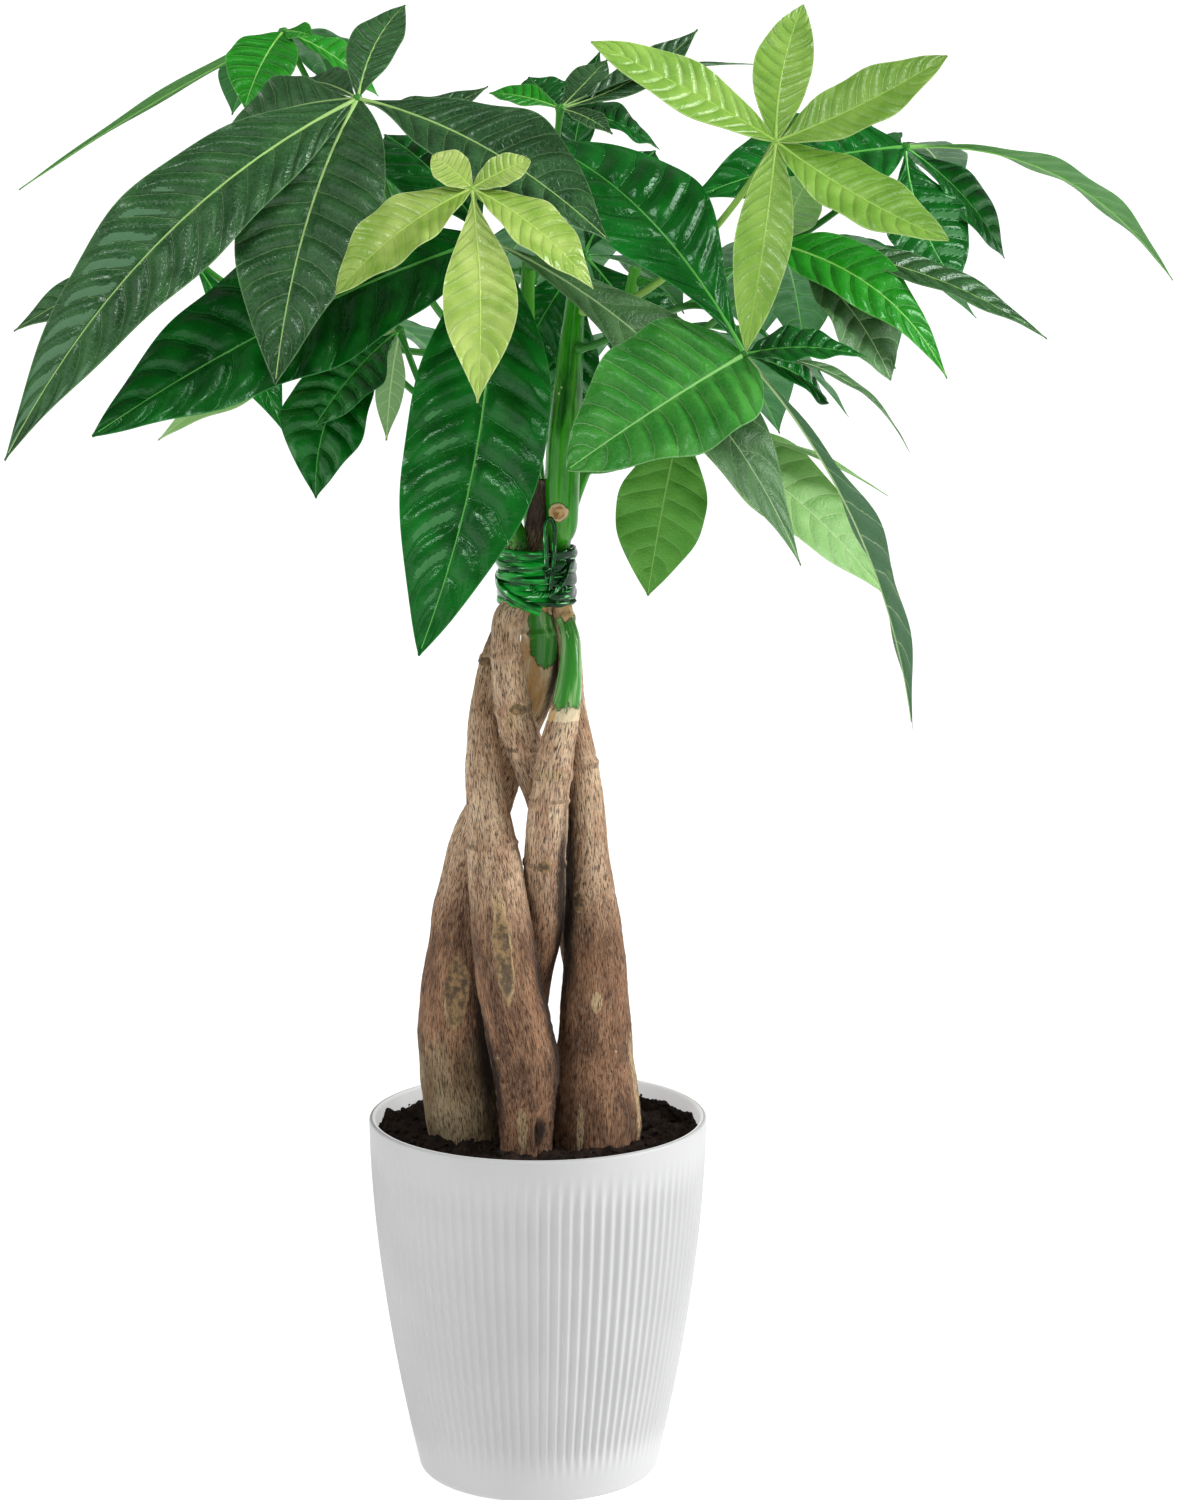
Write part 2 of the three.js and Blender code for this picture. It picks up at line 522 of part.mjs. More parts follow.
function leaflet(hub, [tipX, tipY, tipZ, width, arch, sway, leanX, leanY, widest = 0.56, point = 1.25]) {
  const tip = vec(tipX, tipY, tipZ);
  const span = tip.clone().sub(hub);
  const along = span.clone().normalize();
  const face = vec(leanX, leanY, 1);
  face.addScaledVector(along, -face.dot(along)).normalize();
  const across = along.clone().cross(face);
  const points = [];
  for (const t of BLADE_STATIONS) {
    const foot = BLADE_BASE_HALF_WIDTH * (1 - t) + BLADE_TIP_HALF_WIDTH * t;
    const half = Math.max(foot, (width / 2) * bladeOutline(t, widest, point));
    const bow = 4 * t * (1 - t);
    const middle = hub.clone().addScaledVector(span, t).addScaledVector(face, arch * bow);
    middle.addScaledVector(across, sway * bow);
    for (const lift of [BLADE_THICKNESS / 2, -BLADE_THICKNESS / 2]) {
      for (const side of [-1, 0, 1]) {
        const rise = lift + BLADE_FOLD * half * Math.abs(side);
        points.push(middle.clone().addScaledVector(across, side * half).addScaledVector(face, rise));
      }
    }
  }
  const triangles = [];
  const perStation = 6;
  const last = points.length - perStation;
  for (let here = 0; here < last; here += perStation) {
    const next = here + perStation;
    for (const [middle, edge] of [[1, 0], [1, 2]]) {
      const upper = [[here + edge, here + middle, next + middle], [here + edge, next + middle, next + edge]];
      for (const [a, b, c] of upper) {
        const flip = edge === 2;
        triangles.push(flip ? [a, c, b] : [a, b, c]);
        triangles.push(flip ? [a + 3, b + 3, c + 3] : [a + 3, c + 3, b + 3]);
      }
    }
    triangles.push([here, next, next + 3], [here, next + 3, here + 3]);
    triangles.push([here + 2, next + 5, next + 2], [here + 2, here + 5, next + 5]);
  }
  triangles.push([0, 4, 1], [0, 3, 4], [1, 5, 2], [1, 4, 5]);
  triangles.push([last, last + 1, last + 4], [last, last + 4, last + 3]);
  triangles.push([last + 1, last + 2, last + 5], [last + 1, last + 5, last + 4]);
  return solidOf(geometryOf(points, triangles));
}

// The stalk leaves its stem square to the bark and just clear of it, and climbs to the hub.
function stalk(hub, stem, via) {
  const outward = hub.clone().sub(stem.centre);
  outward.addScaledVector(stem.along, -outward.dot(stem.along)).normalize();
  const start = stem.centre.clone().addScaledVector(outward, stem.radius + CLEARANCE);
  const reach = start.distanceTo(hub);
  const root = start.clone().addScaledVector(outward, STALK_START * reach);
  const bend = via ? vec(...via) : hub.clone().lerp(start, STALK_BEND);
  if (!via) bend.z -= STALK_SAG * reach;
  const curve = new THREE.CubicBezierCurve3(start, root, bend, hub);
  const rings = [];
  for (let step = 0; step <= STALK_STEPS; step += 1) {
    const t = step / STALK_STEPS;
    const radius = STALK_BASE_RADIUS + (STALK_HUB_RADIUS - STALK_BASE_RADIUS) * t;
    rings.push(rodRing(curve.getPoint(t), curve.getTangent(t), radius, STALK_SIDES));
  }
  return solidOf(loft(rings));
}

function leaf({ stem, height, hub, via, leaflets }, trunkLines) {
  const centre = vec(...hub);
  const ball = new THREE.IcosahedronGeometry(HUB_RADIUS, 0);
  ball.translate(centre.x, centre.y, centre.z);
  let solid = solidOf(ball).add(stalk(centre, trunkAtHeight(trunkLines[stem], height), via));
  leaflets.forEach((row) => {
    solid = solid.add(leaflet(centre, row));
  });
  return geometryFrom(solid);
}

// ---------------------------------------------------------------- the plant in its pot
const group = new THREE.Group();
const lines = Object.fromEntries(Object.entries(TRUNKS).map(([name, rows]) => [name, trunkLine(rows)]));

group.add(meshOf('pot', pot(), finish(POT_WHITE, 0.45)));
group.add(meshOf('soil', soil(Object.values(lines)), finish(SOIL_BROWN, 0.95)));
Object.entries(lines).forEach(([name, line]) => {
  group.add(meshOf(name, trunk(line, 0), finish(BARK_BROWN, 0.85)));
});
group.add(meshOf('tie', tie(), finish(TIE_GREEN, 0.2)));
Object.entries(LEAVES).forEach(([name, row]) => {
  group.add(meshOf(name, leaf(row, lines), finish(LEAF_COLOURS[row.colour], 0.4)));
});

export default group;
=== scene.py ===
import math
import random

import bmesh
import bpy
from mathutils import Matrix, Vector, noise


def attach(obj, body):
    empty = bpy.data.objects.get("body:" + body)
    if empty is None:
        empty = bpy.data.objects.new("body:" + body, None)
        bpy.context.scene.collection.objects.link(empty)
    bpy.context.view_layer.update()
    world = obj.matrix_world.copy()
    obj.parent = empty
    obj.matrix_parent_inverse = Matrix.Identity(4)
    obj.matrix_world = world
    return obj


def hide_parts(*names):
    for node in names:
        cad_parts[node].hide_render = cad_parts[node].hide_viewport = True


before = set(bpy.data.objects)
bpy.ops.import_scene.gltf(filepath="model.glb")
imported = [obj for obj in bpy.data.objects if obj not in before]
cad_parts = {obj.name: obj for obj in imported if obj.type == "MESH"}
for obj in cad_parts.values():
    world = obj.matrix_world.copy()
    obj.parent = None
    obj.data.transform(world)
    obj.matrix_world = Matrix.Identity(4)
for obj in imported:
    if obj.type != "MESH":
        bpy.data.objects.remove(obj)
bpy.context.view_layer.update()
MM = 0.001

# ------------------------------------------------------------------ studio
# A plain white studio floor that turns up far behind, all round, under soft light: a broad light from the
# right, weaker ones from the left and above, and a smaller one from the front left corner that picks out the
# gloss. The camera stands a little above the middle of the plant and looks slightly down.
CAMERA_PLACE = (0.0245, -1.838, 0.683)
CAMERA_PITCH = 10.3
CAMERA_LENS = 96
SKY_STRENGTH = 0.18
PAPER_LOOK = {"Base Color": (0.35, 0.35, 0.35, 1), "Roughness": 0.95, "Specular IOR Level": 0,
              "Emission Color": (1, 1, 1, 1), "Emission Strength": 0.84}
# Radius and height of the floor's profile, in metres.
FLOOR_PROFILE = ((0, 0), (30, 0), (33, 0.6), (36, 3.5))
FLOOR_STEPS = 64
MERGE_GAP = 0.001
# How many degrees each light stands to the right of the camera and above the floor, how strong it is, and how
# many degrees wide.
SOFT_LIGHTS = {
    "light_right": dict(side=84, height=26, strength=2.7, spread=26),
    "light_left": dict(side=-75, height=30, strength=0.34, spread=40),
    "light_above": dict(side=20, height=70, strength=0.5, spread=20),
    "light_corner": dict(side=-40, height=50, strength=0.7, spread=10),
}

scene = bpy.context.scene
camera = bpy.data.objects.new("camera", bpy.data.cameras.new("camera"))
camera.data.lens = CAMERA_LENS
camera.location = CAMERA_PLACE
camera.rotation_euler = (math.radians(90 - CAMERA_PITCH), 0, 0)
scene.collection.objects.link(camera)
scene.camera = camera
scene.view_settings.view_transform = "Standard"

for name, light in SOFT_LIGHTS.items():
    lamp = bpy.data.objects.new(name, bpy.data.lights.new(name, "SUN"))
    lamp.data.energy = light["strength"]
    lamp.data.angle = math.radians(light["spread"])
    lamp.rotation_euler = (math.radians(90 - light["height"]), 0, math.radians(light["side"]))
    scene.collection.objects.link(lamp)

sky = bpy.data.worlds.new("sky")
sky.use_nodes = True
sky.node_tree.nodes["Background"].inputs["Color"].default_value = (1, 1, 1, 1)
sky.node_tree.nodes["Background"].inputs["Strength"].default_value = SKY_STRENGTH
scene.world = sky

paper = bpy.data.materials.new("paper")
paper.use_nodes = True
for key, value in PAPER_LOOK.items():
    paper.node_tree.nodes["Principled BSDF"].inputs[key].default_value = value


def spun(profile, steps):
    """A bmesh of the profile, rows of radius and height, spun once round the pot's axis."""
    made = bmesh.new()
    dots = [made.verts.new((radius, 0, height)) for radius, height in profile]
    lines = [made.edges.new(pair) for pair in zip(dots, dots[1:])]
    bmesh.ops.spin(made, geom=dots + lines, axis=(0, 0, 1), cent=(0, 0, 0), steps=steps,
                   angle=math.tau, use_merge=True)
    bmesh.ops.remove_doubles(made, verts=made.verts, dist=MERGE_GAP)
    bmesh.ops.recalc_face_normals(made, faces=made.faces)
    return made


def finish_piece(bm, name, materials):
    """Turns a bmesh in millimetres into a smooth piece of the scene, in metres."""
    bmesh.ops.scale(bm, verts=bm.verts, vec=(MM, MM, MM))
    mesh = bpy.data.meshes.new(name)
    bm.to_mesh(mesh)
    bm.free()
    mesh.shade_smooth()
    piece = bpy.data.objects.new(name, mesh)
    for material in materials:
        mesh.materials.append(material)
    scene.collection.objects.link(piece)
    return piece


floor_profile = [(reach / MM, height / MM) for reach, height in FLOOR_PROFILE]
finish_piece(spun(floor_profile, FLOOR_STEPS), "floor", [paper])


# ------------------------------------------------------------------ pot
# One injection-moulded planter in white polypropylene, tapered, with a plain band under its thin round lip
# and fine flutes that fade out above the foot. Its wall is 3 mm thick.
POT_HEIGHT = 173
POT_RIM_RADIUS = 80
POT_FOOT_RADIUS = 56.5
# How far the taper bows out, where 1 would be a plain cone.
POT_BULGE = 1.75
POT_WALL = 3
POT_FLOOR = 3.5
POT_FOOT_ROUND = 4
POT_LIP_RADIUS = 1.2
POT_LIP_GAP = 1
POT_LEVELS = 44
POT_INNER_LEVELS = 12
FLUTE_COUNT = 96
FLUTE_DEPTH = 1.4
FLUTE_ROUNDNESS = 0.7
FLUTE_SLICES = 6
# Heights over which the flutes fade in above the foot and out below the band, and those over which the
# painted glow on the inner wall starts.
FLUTE_FADES = ((12, 30), (144, 166))
PAINTED_GLOW_LEVELS = (155, 160)


def pot_radius(z):
    return POT_FOOT_RADIUS + (POT_RIM_RADIUS - POT_FOOT_RADIUS) * (1 - (1 - z / POT_HEIGHT) ** POT_BULGE)


def ease(value, low, high):
    """0 below low, 1 above high and smooth between them."""
    share = min(max((value - low) / (high - low), 0), 1)
    return share * share * (3 - 2 * share)


def arc(centre, radius, start, end, steps):
    """Points of an arc in the profile plane, angles in degrees."""
    turns = [math.radians(start + (end - start) * step / steps) for step in range(steps + 1)]
    return [(centre[0] + radius * math.cos(turn), centre[1] + radius * math.sin(turn)) for turn in turns]


class Shade:
    """One socket of a material. Python's operators on it add Math nodes, and node() adds any other node."""

    def __init__(self, tree, socket=None):
        self.tree, self.socket = tree, socket

    def node(self, kind, settings=None, inputs=None, out=0):
        made = self.tree.nodes.new(kind)
        for key, value in (settings or {}).items():
            setattr(made, key, value)
        for key, value in (inputs or {}).items():
            if isinstance(value, Shade):
                self.tree.links.new(value.socket, made.inputs[key])
            else:
                made.inputs[key].default_value = value
        return Shade(self.tree, made.outputs[out])

    def maths(self, operation, *values):
        return self.node("ShaderNodeMath", {"operation": operation}, dict(enumerate(values)))

    def __add__(self, other):
        return self.maths("ADD", self, other)

    def __mul__(self, other):
        return self.maths("MULTIPLY", self, other)

    def __sub__(self, other):
        return self.maths("SUBTRACT", self, other)

    def __truediv__(self, other):
        return self.maths("DIVIDE", self, other)

    def __rsub__(self, other):
        return self.maths("SUBTRACT", other, self)

    def __rtruediv__(self, other):
        return self.maths("DIVIDE", other, self)

    def __abs__(self):
        return self.maths("ABSOLUTE", self)

    __radd__ = __add__
    __rmul__ = __mul__

    def rise(self, low, high):
        """0 where this value is at low, 1 where it is at high, clamped and smooth between."""
        return self.node("ShaderNodeMapRange", {"interpolation_type": "SMOOTHSTEP"},
                         {"Value": self, "From Min": low, "From Max": high})

    def blend(self, below, above):
        """The colour below where this value is 0 and above where it is 1. Either may be six hex digits."""
        below, above = (paint(colour) if isinstance(colour, str) else colour for colour in (below, above))
        return self.node("ShaderNodeMix", {"data_type": "RGBA"}, {0: self, 6: below, 7: above}, out=2)

    def place(self):
        """The place on the piece, in metres."""
        return self.node("ShaderNodeTexCoord", out="Object")

    def attribute(self, name, out="Vector"):
        """What the mesh carries under that name: a vector, or a number where out is Fac."""
        return self.node("ShaderNodeAttribute", {"attribute_name": name}, out=out)

    def axis(self, letter):
        """One number of this vector: its X, Y or Z."""
        return self.node("ShaderNodeSeparateXYZ", {}, {0: self}, out=letter)

    def stretched(self, *scale):
        """This vector, each of its numbers scaled."""
        return self.node("ShaderNodeVectorMath", {"operation": "MULTIPLY"}, {0: self, 1: scale})

    def noise(self, scale, detail=3, roughness=0.6):
        """Noise at the place that this vector gives."""
        return self.node("ShaderNodeTexNoise", {}, {
            "Vector": self, "Scale": scale, "Detail": detail, "Roughness": roughness})

    def bump(self, distance, strength=1, normal=None):
        """A normal with this value as its height, over a distance in millimetres, upon another normal."""
        inputs = {"Height": self, "Distance": distance * MM, "Strength": strength}
        if normal:
            inputs["Normal"] = normal
        return self.node("ShaderNodeBump", {}, inputs)


def paint(code):
    """A colour as the eye sees it, written as six hex digits, in the linear light that the shaders use."""
    parts = [int(code[place:place + 2], 16) / 255 for place in (0, 2, 4)]
    return tuple(part / 12.92 if part < 0.04045 else ((part + 0.055) / 1.055) ** 2.4 for part in parts) + (1,)


def new_finish(name, fixed):
    """A new material with constants set on its shader: (material, a Shade to build with, its shader)."""
    material = bpy.data.materials.new(name)
    material.use_nodes = True
    shader = material.node_tree.nodes["Principled BSDF"]
    for key, value in fixed.items():
        shader.inputs[key].default_value = value
    return material, Shade(material.node_tree), shader


def connect(shader, **values):
    """Links what varies over the surface to the shader's sockets, such as Base_Color."""
    for key, value in values.items():
        shader.id_data.links.new(value.socket, shader.inputs[key.replace("_", " ")])


def plastic_finish():
    # A painted glow: the inner wall of the lip gives off a faint light of its own, so that it shows bright.
    material, mix, shader = new_finish("white_plastic", {"IOR": 1.49, "Emission Strength": 0.45})
    place = mix.place()
    reach = mix.node("ShaderNodeVectorMath", {"operation": "LENGTH"}, {0: place.stretched(1, 1, 0)}, out=1)
    wall = [(POT_RIM_RADIUS - inset) * MM for inset in (POT_WALL - POT_LIP_RADIUS, POT_LIP_RADIUS)]
    # Painted glow, from the lip down the inner wall.
    painted_lip_glow = (1 - reach.rise(*wall)) * place.axis("Z").rise(*[level * MM for level in PAINTED_GLOW_LEVELS])
    cloud = place.noise(14, detail=2)
    connect(shader,
            Base_Color=cloud.rise(0.3, 0.7).blend("C3C3C4", "CACACB"),
            Emission_Color=painted_lip_glow.blend("000000", "FFFFFF"),
            Roughness=0.40 + 0.14 * cloud,
            Normal=place.noise(900, detail=2).bump(0.05, 0.35))
    return material


def pot_profile():
    lip = POT_HEIGHT - POT_LIP_RADIUS
    foot_centre = (pot_radius(POT_FOOT_ROUND) - POT_FOOT_ROUND, POT_FOOT_ROUND)
    lip_outer = (POT_RIM_RADIUS - POT_LIP_RADIUS, lip)
    lip_inner = (POT_RIM_RADIUS - POT_WALL + POT_LIP_RADIUS, lip)
    rise = (lip - POT_LIP_GAP - POT_FOOT_ROUND) / POT_LEVELS
    outer_levels = [POT_FOOT_ROUND + rise * step for step in range(1, POT_LEVELS + 1)]
    fall = (lip - POT_FLOOR) / POT_INNER_LEVELS
    inner_levels = [lip - fall * step for step in range(1, POT_INNER_LEVELS)]
    return [
        (0, 0), (foot_centre[0] * 0.6, 0),
        *arc(foot_centre, POT_FOOT_ROUND, -90, 0, 6),
        *[(pot_radius(z), z) for z in outer_levels],
        *arc(lip_outer, POT_LIP_RADIUS, 0, 90, 5),
        *arc(lip_inner, POT_LIP_RADIUS, 90, 180, 5),
        *[(pot_radius(z) - POT_WALL, z) for z in inner_levels],
        (pot_radius(POT_FLOOR) - POT_WALL, POT_FLOOR), (0, POT_FLOOR),
    ]


pot_mesh = spun(pot_profile(), FLUTE_COUNT * FLUTE_SLICES)
for vert in pot_mesh.verts:
    reach = math.hypot(vert.co.x, vert.co.y)
    if reach > pot_radius(vert.co.z) - POT_WALL / 2:
        turn = math.atan2(vert.co.y, vert.co.x)
        groove = (0.5 - 0.5 * math.cos(turn * FLUTE_COUNT)) ** FLUTE_ROUNDNESS
        depth = FLUTE_DEPTH * ease(vert.co.z, *FLUTE_FADES[0]) * (1 - ease(vert.co.z, *FLUTE_FADES[1]))
        vert.co.xy *= 1 - groove * depth / reach
pot = finish_piece(pot_mesh, "fluted_pot", [plastic_finish()])
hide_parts("pot")
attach(pot, "root")


# ------------------------------------------------------------------ soil
# Damp peat potting mix filling the pot to just below its lip, lumpy, with loose crumbs and bits of bark
# lying on top.
SOIL_LEVEL = 166
SOIL_CLEARANCE = 0.35
SOIL_STEPS = 260
SOIL_RING = 1.1
SOIL_SIDE_LEVELS = (140, 110, 80, 50, 26)
# Waves of its top: their height, how fast they run along +X and +Y, and where they start.
SOIL_WAVES = ((0.8, 0.21, 0.17, 1.3), (0.8, 0.21, -0.17, 1.3), (1.1, 0.09, -0.26, 2))
# Its clods, then its grit: fineness, smoothness, how much finer each layer is, layers and height.
SOIL_LUMPS = ((0.13, 0.9, 2.1, 4, 2.6), (0.55, 0.8, 2.2, 3, 1.1))
CRUMB_COUNT = 900
CRUMB_SEED = 7
CRUMB_RADII = (0.5, 2.3)
# How far crumbs keep from the wall, and how high their middles lie, as a share of their radius.
CRUMB_MARGIN = 2.5
CRUMB_REST = 0.35


def soil_radius(z):
    return pot_radius(z) - POT_WALL - SOIL_CLEARANCE


def soil_height(x, y):
    height = SOIL_LEVEL
    for rise, along_x, along_y, start in SOIL_WAVES:
        height += rise * math.sin(x * along_x + y * along_y + start)
    for fineness, smoothness, finer, layers, rise in SOIL_LUMPS:
        height += rise * noise.fractal(Vector((x, y, 0)) * fineness, smoothness, finer, layers)
    return height


def soil_finish():
    material, mix, shader = new_finish("peat", {"Specular IOR Level": 0.25})
    place = mix.place()
    coarse = place.noise(240, detail=8, roughness=0.75)
    fine = place.noise(1300, detail=6, roughness=0.8)
    fibre = place.stretched(1, 0.25, 1).noise(700, detail=4)
    brown = coarse.rise(0.35, 0.7).blend("120C09", "36261B")
    connect(shader,
            Base_Color=fibre.rise(0.62, 0.72).blend(brown, "4E3826"),
            Roughness=0.8 + 0.2 * fine,
            Normal=fine.bump(0.8, 0.9, coarse.bump(1.6, 0.9)))
    return material


soil_wall, soil_floor = soil_radius(SOIL_LEVEL), POT_FLOOR + SOIL_CLEARANCE
ring_count = round(soil_wall / SOIL_RING)
soil_mesh = spun([
    *[(soil_wall * ring / ring_count, SOIL_LEVEL) for ring in range(ring_count + 1)],
    *[(soil_radius(z), z) for z in (*SOIL_SIDE_LEVELS, soil_floor)],
    (0, soil_floor),
], SOIL_STEPS)
for vert in soil_mesh.verts:
    if vert.co.z > SOIL_LEVEL - 1:
        vert.co.z = soil_height(vert.co.x, vert.co.y)
dice = random.Random(CRUMB_SEED)
for _ in range(CRUMB_COUNT):
    reach = (soil_wall - CRUMB_MARGIN) * math.sqrt(dice.random())
    turn = dice.uniform(0, math.tau)
    radius = dice.uniform(*CRUMB_RADII) * dice.uniform(0.4, 1)
    centre = Vector((reach * math.cos(turn), reach * math.sin(turn), 0))
    centre.z = soil_height(centre.x, centre.y) + radius * CRUMB_REST
    lump = bmesh.ops.create_icosphere(soil_mesh, subdivisions=1, radius=radius)["verts"]
    squeeze = Vector((dice.uniform(0.6, 1.3), dice.uniform(0.6, 1.3), dice.uniform(0.5, 1)))
    for vert in lump:
        rough = 1 + 0.35 * noise.noise(vert.co * (1.3 / radius) + centre)
        vert.co = centre + vert.co * squeeze * rough
soil = finish_piece(soil_mesh, "potting_mix", [soil_finish()])
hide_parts("soil")
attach(soil, "root")


# ------------------------------------------------------------------ trunks
# Five young trunks plaited while they were green, each one piece from its roots to the tip of its shoot. The
# bark is grey-brown and finely furrowed, coarser towards the soil, ringed where leaves fell off, and scraped
# or peeling in places. Above the tie the stems are still smooth and green. Rows: x, y, z and radius.
TRUNKS = {
    "trunk_front_left": [
        (-4, -38, 120, 8), (-5, -38, 171, 10.8), (-5, -38, 205, 14.2), (-9, -37, 228, 14.6),
        (-13, -36, 247, 14.4), (-18, -29, 290, 12.4), (-23, -20, 330, 9.2), (-25, -7, 362, 6.6),
        (-22, 3, 391, 4), (-12.5, 2.5, 417, 3), (-9, 1, 438, 3), (-2, -4, 449, 4.2), (0.5, -9, 463, 4),
        (2, -10, 477, 2.2),
    ],
    "trunk_left": [
        (-33, -8, 120, 14), (-34, -8, 163, 17.2), (-38, -6, 213, 18), (-34, -2, 269, 14.8),
        (-28, 1, 307, 11.2), (-19, 6, 329, 9), (-10, 10, 352, 8.4), (-1, 9.5, 376, 9), (1.6, 8.5, 398, 9),
        (0.5, 7.6, 417, 6.6), (0.5, 7.6, 447, 6.2), (-3, 18, 490, 5.2), (-5, 32, 530, 4.2), (-4, 40, 575, 3),
    ],
    "trunk_right": [
        (25, -17, 120, 17), (27, -16, 170, 21), (27, -14, 212, 17.6), (27, -12, 243, 15.4),
        (26, -9, 266, 13.6), (24, -6, 288, 11.2), (22.5, -4, 323, 8.8), (20, -2, 346, 7.6), (16, 1, 373, 6),
        (15, 4, 396, 5), (11, 5.5, 417, 3.6), (11, 5.5, 447, 3.6), (25, 14, 490, 4.4), (38, 22, 530, 4),
        (46, 24, 572, 2.8),
    ],
    "trunk_center": [
        (-14, 27, 120, 9), (-13, 24, 160, 11.4), (-9, 8, 198, 10.4), (-4, -6, 236, 9.8), (2.6, -14, 270, 9.9),
        (4, -22, 302, 9.8), (6, -26, 330, 9.2), (9, -25, 352, 8.4), (14, -21, 376, 6.6), (16, -14, 400, 4.8),
        (12.6, -5.5, 417, 3.8), (11, -6, 445, 4.8), (11.8, -8, 458, 7.8), (12.6, -9, 490, 8.3),
        (16, -8, 535, 6), (20, -8, 578, 3.4),
    ],
    "trunk_back": [
        (33, 43, 120, 11), (32, 40, 155, 14), (30, 36, 195, 13.2), (22, 27, 247, 11.4), (13, 15, 293, 9.6),
        (4, 3, 324, 8.8), (-4, -8, 348, 8.8), (-11, -15, 373, 8.4), (-14, -14, 398, 7.1),
        (-13.4, -11.5, 411, 7), (-10, -9, 421, 5.9), (-9, -8.8, 447, 5.4), (-15, -8, 465, 5.2),
        (-21, -6, 500, 5), (-26, -4, 535, 4.2), (-28, -4, 575, 3),
    ],
}
# What shows on the bark. Each mark is its kind, its height, the side that it faces in degrees (0 right,
# 90 back, 270 front), and its half height and half width in millimetres, where no width means all round.
# A ring is where a leaf sat, a scar has healed, pale is scraped and tan peeled. Dark all round is a dead
# stub, and dark on one side is painted shade between the trunks.
# Green is stem and print the trace of a cut leaf on it. Smooth and rough say how furrowed the bark is there.
MARKS = {
    "trunk_front_left": [
        ("scar", 262, 268, 22, 4.5), ("ring", 309, 0, 1.2), ("pale", 284, 270, 7, 3), ("ring", 391, 0, 1.5),
        ("scar", 391, 262, 2, 9), ("dark", 412, 0, 17), ("dark", 465, 0, 25), ("rough", 185, 0, 60),
        ("dark", 178, 305, 10, 4), ("pale", 178, 262, 12, 2.6), ("dark", 225, 352, 75, 7),
        ("dark", 205, 200, 40, 6),
    ],
    "trunk_left": [
        ("scar", 238, 268, 17, 6), ("scar", 262, 292, 8, 3), ("ring", 404, 0, 1.5),
        ("tan", 398, 268, 34, 15), ("green", 401, 288, 13, 8), ("green", 409, 272, 6, 6),
        ("smooth", 176, 0, 46), ("dark", 225, 318, 70, 9), ("dark", 385, 322, 30, 4), ("green", 532, 0, 88),
    ],
    "trunk_right": [
        ("pale", 235, 273, 5, 2.4), ("scar", 280, 244, 5, 3), ("ring", 343, 0, 1.4),
        ("pale", 192, 345, 26, 4), ("pale", 176, 250, 12, 2), ("rough", 165, 0, 40),
        ("dark", 285, 208, 90, 9), ("green", 532, 0, 88),
    ],
    "trunk_center": [
        ("green", 393, 0, 19), ("tan", 371, 0, 3.5), ("tan", 416, 0, 5), ("ring", 343, 0, 2.6),
        ("pale", 343, 262, 3, 7), ("ring", 331, 0, 0.9), ("ring", 412, 0, 2), ("ring", 300, 0, 1),
        ("scar", 300, 268, 3, 3), ("dark", 285, 325, 55, 6), ("print", 462.5, 256, 4.2, 4.8),
        ("green", 532, 0, 94),
    ],
    "trunk_back": [
        ("ring", 396, 0, 1.2), ("ring", 372, 0, 1.8), ("pale", 366, 258, 5, 3), ("ring", 352, 0, 1),
        ("scar", 372, 285, 3, 4), ("green", 532, 0, 88),
    ],
}
MARK_KINDS = ("green", "tan", "pale", "scar", "dark", "print", "ring", "smooth")
SOFT_MARKS = ("dark", "smooth")
BARK_SIDES = 96
BARK_STEP = 0.9
# How fine the furrows, the grain and the lumps are round the trunk, and what share of that along it.
FURROWS = (0.62, 0.10)
FINE_GRAIN = (1.5, 0.22)
LUMPS = (0.055, 1)
FURROW_DEPTH = 0.6
RING_RISE = 0.8
SCAR_DEPTH = 0.7
PRINT_RISE = 0.7
# How far lumps and flattened sides stand out, as shares of the radius.
LUMP_SHARE = 0.07
FLAT_SHARE = 0.035
# How far apart the trunks lie in the patterns of their shape and colour, so that no two are alike.
SHAPE_SHIFT = 31
GRAIN_SHIFT = 60
# Heights over which the bark turns paler, and those over which the green stems turn deeper.
PALER_BARK = (255, 325)
DEEPER_GREEN = (440, 450)


def along_rows(rows, share):
    """The place at that share of a smooth line through the rows, and how it changes there, both as lists."""
    spans = len(rows) - 1
    span = min(int(share * spans), spans - 1)
    part = share * spans - span
    here, there = rows[span], rows[span + 1]
    before = rows[span - 1] if span else [2 * a - b for a, b in zip(here, there)]
    after = rows[span + 2] if span + 2 <= spans else [2 * b - a for a, b in zip(here, there)]
    place, change = [], []
    for a, b, c, d in zip(before, here, there, after):
        leave, arrive = (c - a) / 2, (d - b) / 2
        square, cube = 3 * (c - b) - 2 * leave - arrive, 2 * (b - c) + leave + arrive
        place.append(b + leave * part + square * part ** 2 + cube * part ** 3)
        change.append(leave + 2 * square * part + 3 * cube * part ** 2)
    return place, change


def trunk_place(rows, share):
    """Middle, direction and radius of a trunk at that share of its rows."""
    place, change = along_rows(rows, share)
    return Vector(place[:3]), Vector(change[:3]).normalized(), place[3]


